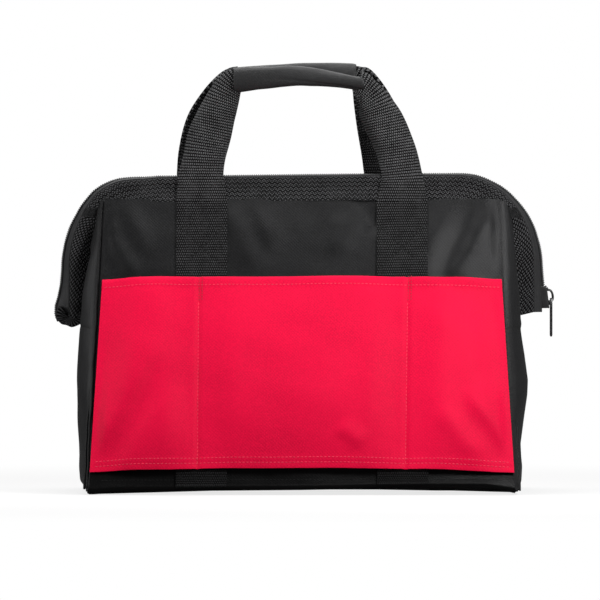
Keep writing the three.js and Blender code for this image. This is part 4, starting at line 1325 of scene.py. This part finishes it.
def base():
    """Base cloth: a flat panel with rounded corners and edge, lifted where the hem is. Its outline
    is a rectangle's corners carried round by a circle, and its rings are that outline, drawn in."""
    half_x, half_y = BASE_HALF + BASE_OVERHANG, BASE_DEPTH / 2
    cos, sin = np.cos(circle(240)), np.sin(circle(240))
    x = (half_x - BASE_RADIUS) * np.sign(cos) * smooth(np.abs(cos) * 6) + BASE_RADIUS * cos
    y = (half_y - BASE_RADIUS) * np.sign(sin) * smooth(np.abs(sin) * 6) + BASE_RADIUS * sin
    outline = looped(np.stack([x, y], axis=1))
    even = arc_length(outline)
    spread = np.linspace(0, even[-1], 400, endpoint=False)
    x, y = (np.interp(spread, even, outline[:, i]) for i in range(2))
    lift = under_edge(-x * np.sign(y), BASE_LIFT)
    rings = []
    for inset, z in BASE_SECTION:
        along_front = smooth((np.abs(y) - 60) / 30)
        edge = np.minimum(lift, 4.4) * (1 - smooth((inset - 2) / 20)) * along_front
        if z < 1:
            edge = np.maximum(edge, np.minimum(lift, 2.6))
        narrow = (half_y - inset) / half_y * (half_y - 1.4) / half_y
        rings.append(stacked(x * (half_x - inset) / half_x, y * narrow, z + edge))
    build = Build()
    build.tube(np.array(rings))
    dress(build.make("base_cloth", black_cloth), "base", "black_cloth", "base_panel")


def slider():
    """Slider: soft boxes for the two plates, the wedge, the lips that hold the coil and the feet
    of the bail, and the bail as a rod along half a superellipse. It leans with the zip's leg."""
    build = Build()
    low, high, out = SLIDER_LOW, SLIDER_HIGH, PLATE_OUT
    lip = out + 0.9
    build.soft_box((out, -4.4, low + 3), (out + PLATE_THICKNESS, 4.4, high), 0.35)
    build.soft_box((out, -3.3, low), (out + PLATE_THICKNESS, 3.3, high - 4), 0.35)
    build.soft_box((175.5, -3.2, low), (176.9, 3.2, high), 0.3)
    build.soft_box((176.2, -0.5, low), (out + 0.6, 0.5, ZIP_END - 0.5), 0.35)
    for inner, outer in ((-4.6, -3.7), (3.7, 4.6)):
        build.soft_box((178.9, inner, low + 0.5), (lip, outer, high - 0.5), 0.3)
    for foot, top in ((low + 2.4, low + 5.6), (high - 4, high - 1.2)):
        build.soft_box((lip, -1.3, foot), (lip + 1.5, 1.3, top), 0.5)
    start = out + 1.2
    turn = np.linspace(-math.pi / 2, math.pi / 2, 40)
    x = start + (BAIL_OUT - 0.95 - start) * rounded(np.cos(turn), 0.55)
    z = (BAIL_LOW + BAIL_HIGH) / 2 + (BAIL_HIGH - BAIL_LOW - 1.8) / 2 * rounded(np.sin(turn), 0.9)
    build.rod(stacked(x, 0, z), 0.88, 14)
    for points in build.points:
        points[:, 0] += (146 - points[:, 2]) * 0.13
    dress(build.make("slider_body", black_metal), "zip_slider", "black_metal", "zip_slider")


def pull():
    """Pull tab: a flat plate with a long slot, hung by its upper bar on the bail. Its rings go
    round from the outer superellipse to the slot's, once for each place of the rounded rim."""
    top, bottom, middle = 144.7, 115.7, 187.0
    turn = circle(96)

    def oval(half_width, low, high, power):
        y = half_width * rounded(np.cos(turn), power)
        return y, (low + high) / 2 + (high - low) / 2 * rounded(np.sin(turn), power)

    plate, slot = oval(3.0, bottom, top, 0.42), oval(1.35, 134.4, 143.4, 0.4)
    plate = (plate[0] * (1 - 0.2 * smooth((np.sin(turn) - 0.2) / 0.8)), plate[1])
    rim = (
        (0.06, -1.0), (0, -0.6), (0, 0.6), (0.06, 1.0),
        (0.9, 1.0), (1, 0.6), (1, -0.6), (0.9, -1.0),
    )
    rings = []
    for share, x in rim:
        y, z = (a * (1 - share) + b * share for a, b in zip(plate, slot))
        rings.append(stacked(middle + x, y, z))
    build = Build()
    build.tube(np.array(rings), closed=True)
    dress(build.make("pull_tab", black_metal), "zip_pull", "black_metal", "zip_pull_tab")


for name, side in SIDES.items():
    end_wrap(name, side)
    wall_panel(name, side)
    pocket_panel(name, side)
    wall_straps(name, side)
    side_seams(name, side)
    handle(name, side)
    mouth_binding(name, side)
    zip_tape(name, side)
    zip_coil(name, side)
    for sign, hand in both_ends(side):
        end_panel(name, side, sign, hand)
        end_ear(name, side, sign, hand)
base()
slider()
pull()

# Hard pieces that stay as the part has them
kept = {"frame_wire": wire_steel, "wire_cap": cap_plastic, "base_board": board_plastic}
for node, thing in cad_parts.items():
    for part, material in kept.items():
        if part in node:
            thing.data.materials.clear()
            thing.data.materials.append(material)


# Studio

WHITE = (1, 1, 1, 1)


def white_to_camera(nodes, shader, white, amount):
    """Mixes amount of a white shader in for rays from the camera and through clear materials."""
    rays = nodes.add("LightPath", {}, {}, "Is Camera Ray")
    through = Value(nodes, rays.socket.node.outputs["Is Transmission Ray"])
    seen = rays.maths("MAXIMUM", through) * amount
    return nodes.add("MixShader", {}, {0: seen, 1: Value(nodes, shader), 2: white})


world = bpy.data.worlds.new("studio")
bpy.context.scene.world = world
air = Nodes(world)
ambient = air.tree.nodes["Background"]
ambient.inputs["Color"].default_value = WHITE
ambient.inputs["Strength"].default_value = 0.13
backdrop = air.add("Background", {}, {"Color": WHITE, "Strength": 1.0})
sky = white_to_camera(air, ambient.outputs[0], backdrop, 1.0)
air.put(air.tree.nodes["World Output"].inputs["Surface"], sky)

# The floor is grey to the lamps' rays, pale to the camera's, and whiter far from the bag
pale = Finish("pale_floor", {"Roughness": 0.9})
seen = pale.add("LightPath", {}, {}, "Is Camera Ray")
pale.colour((0.18, 0.18, 0.18), (seen, (0.92, 0.92, 0.92)))
far = pale.add("VectorMath", {"operation": "LENGTH"}, {0: pale.place}, "Value").above(0.25, 0.55)
white = pale.add("Emission", {}, {"Color": WHITE, "Strength": 1.0})
mixed = white_to_camera(pale, pale.shader.outputs[0], white, far * 0.22 + 0.78)
pale.put(pale.tree.nodes["Material Output"].inputs["Surface"], mixed)
mesh = bpy.data.meshes.new("floor")
mesh.from_pydata([(-4, -4, 0), (4, -4, 0), (4, 4, 0), (-4, 4, 0)], [], [(0, 1, 2, 3)])
mesh.materials.append(pale.material)
floor = in_scene("floor", mesh)
floor.location.z = -0.0004


def aim(thing, place, target):
    """Puts thing at place with its -Z axis towards target."""
    thing.location = place
    thing.rotation_euler = (Vector(target) - Vector(place)).to_track_quat("-Z", "Y").to_euler()


def lamp(name, place, target, size, power):
    """A square lamp of that size in metres and power in watts."""
    light = bpy.data.lights.new(name, "AREA")
    light.size = size
    light.energy = power
    aim(in_scene(name, light), place, target)


lamp("key", (0.36, -0.46, 0.52), (0.05, -0.06, 0.16), 0.2, 3.4)
lamp("above", (-0.05, -0.08, 0.66), (0, -0.06, 0.15), 0.3, 1.8)
lamp("fill", (-0.6, -0.2, 0.34), (-0.05, -0.06, 0.16), 0.35, 1.6)
lamp("side", (0.62, -0.28, 0.2), (0.16, -0.05, 0.14), 0.3, 0.5)
lamp("behind", (-0.1, 0.5, 0.9), (0, 0, 0.2), 0.6, 3.5)

# The camera stands far off with a long lens, 1 degree above level
camera = bpy.data.cameras.new("camera")
view = in_scene("camera", camera)
bpy.context.scene.camera = view
distance = 12.0
tilt = math.radians(1.0)
x, y, z = (-2 * PIXEL, -0.06, 0.1442)
aim(view, (x, y - distance * math.cos(tilt), z + distance * math.sin(tilt)), (x, y, z))
camera.sensor_width = 36
camera.lens = camera.sensor_width * distance / (IMAGE_SIDE * PIXEL)
camera.clip_end = 40
bpy.context.scene.view_settings.view_transform = "Standard"
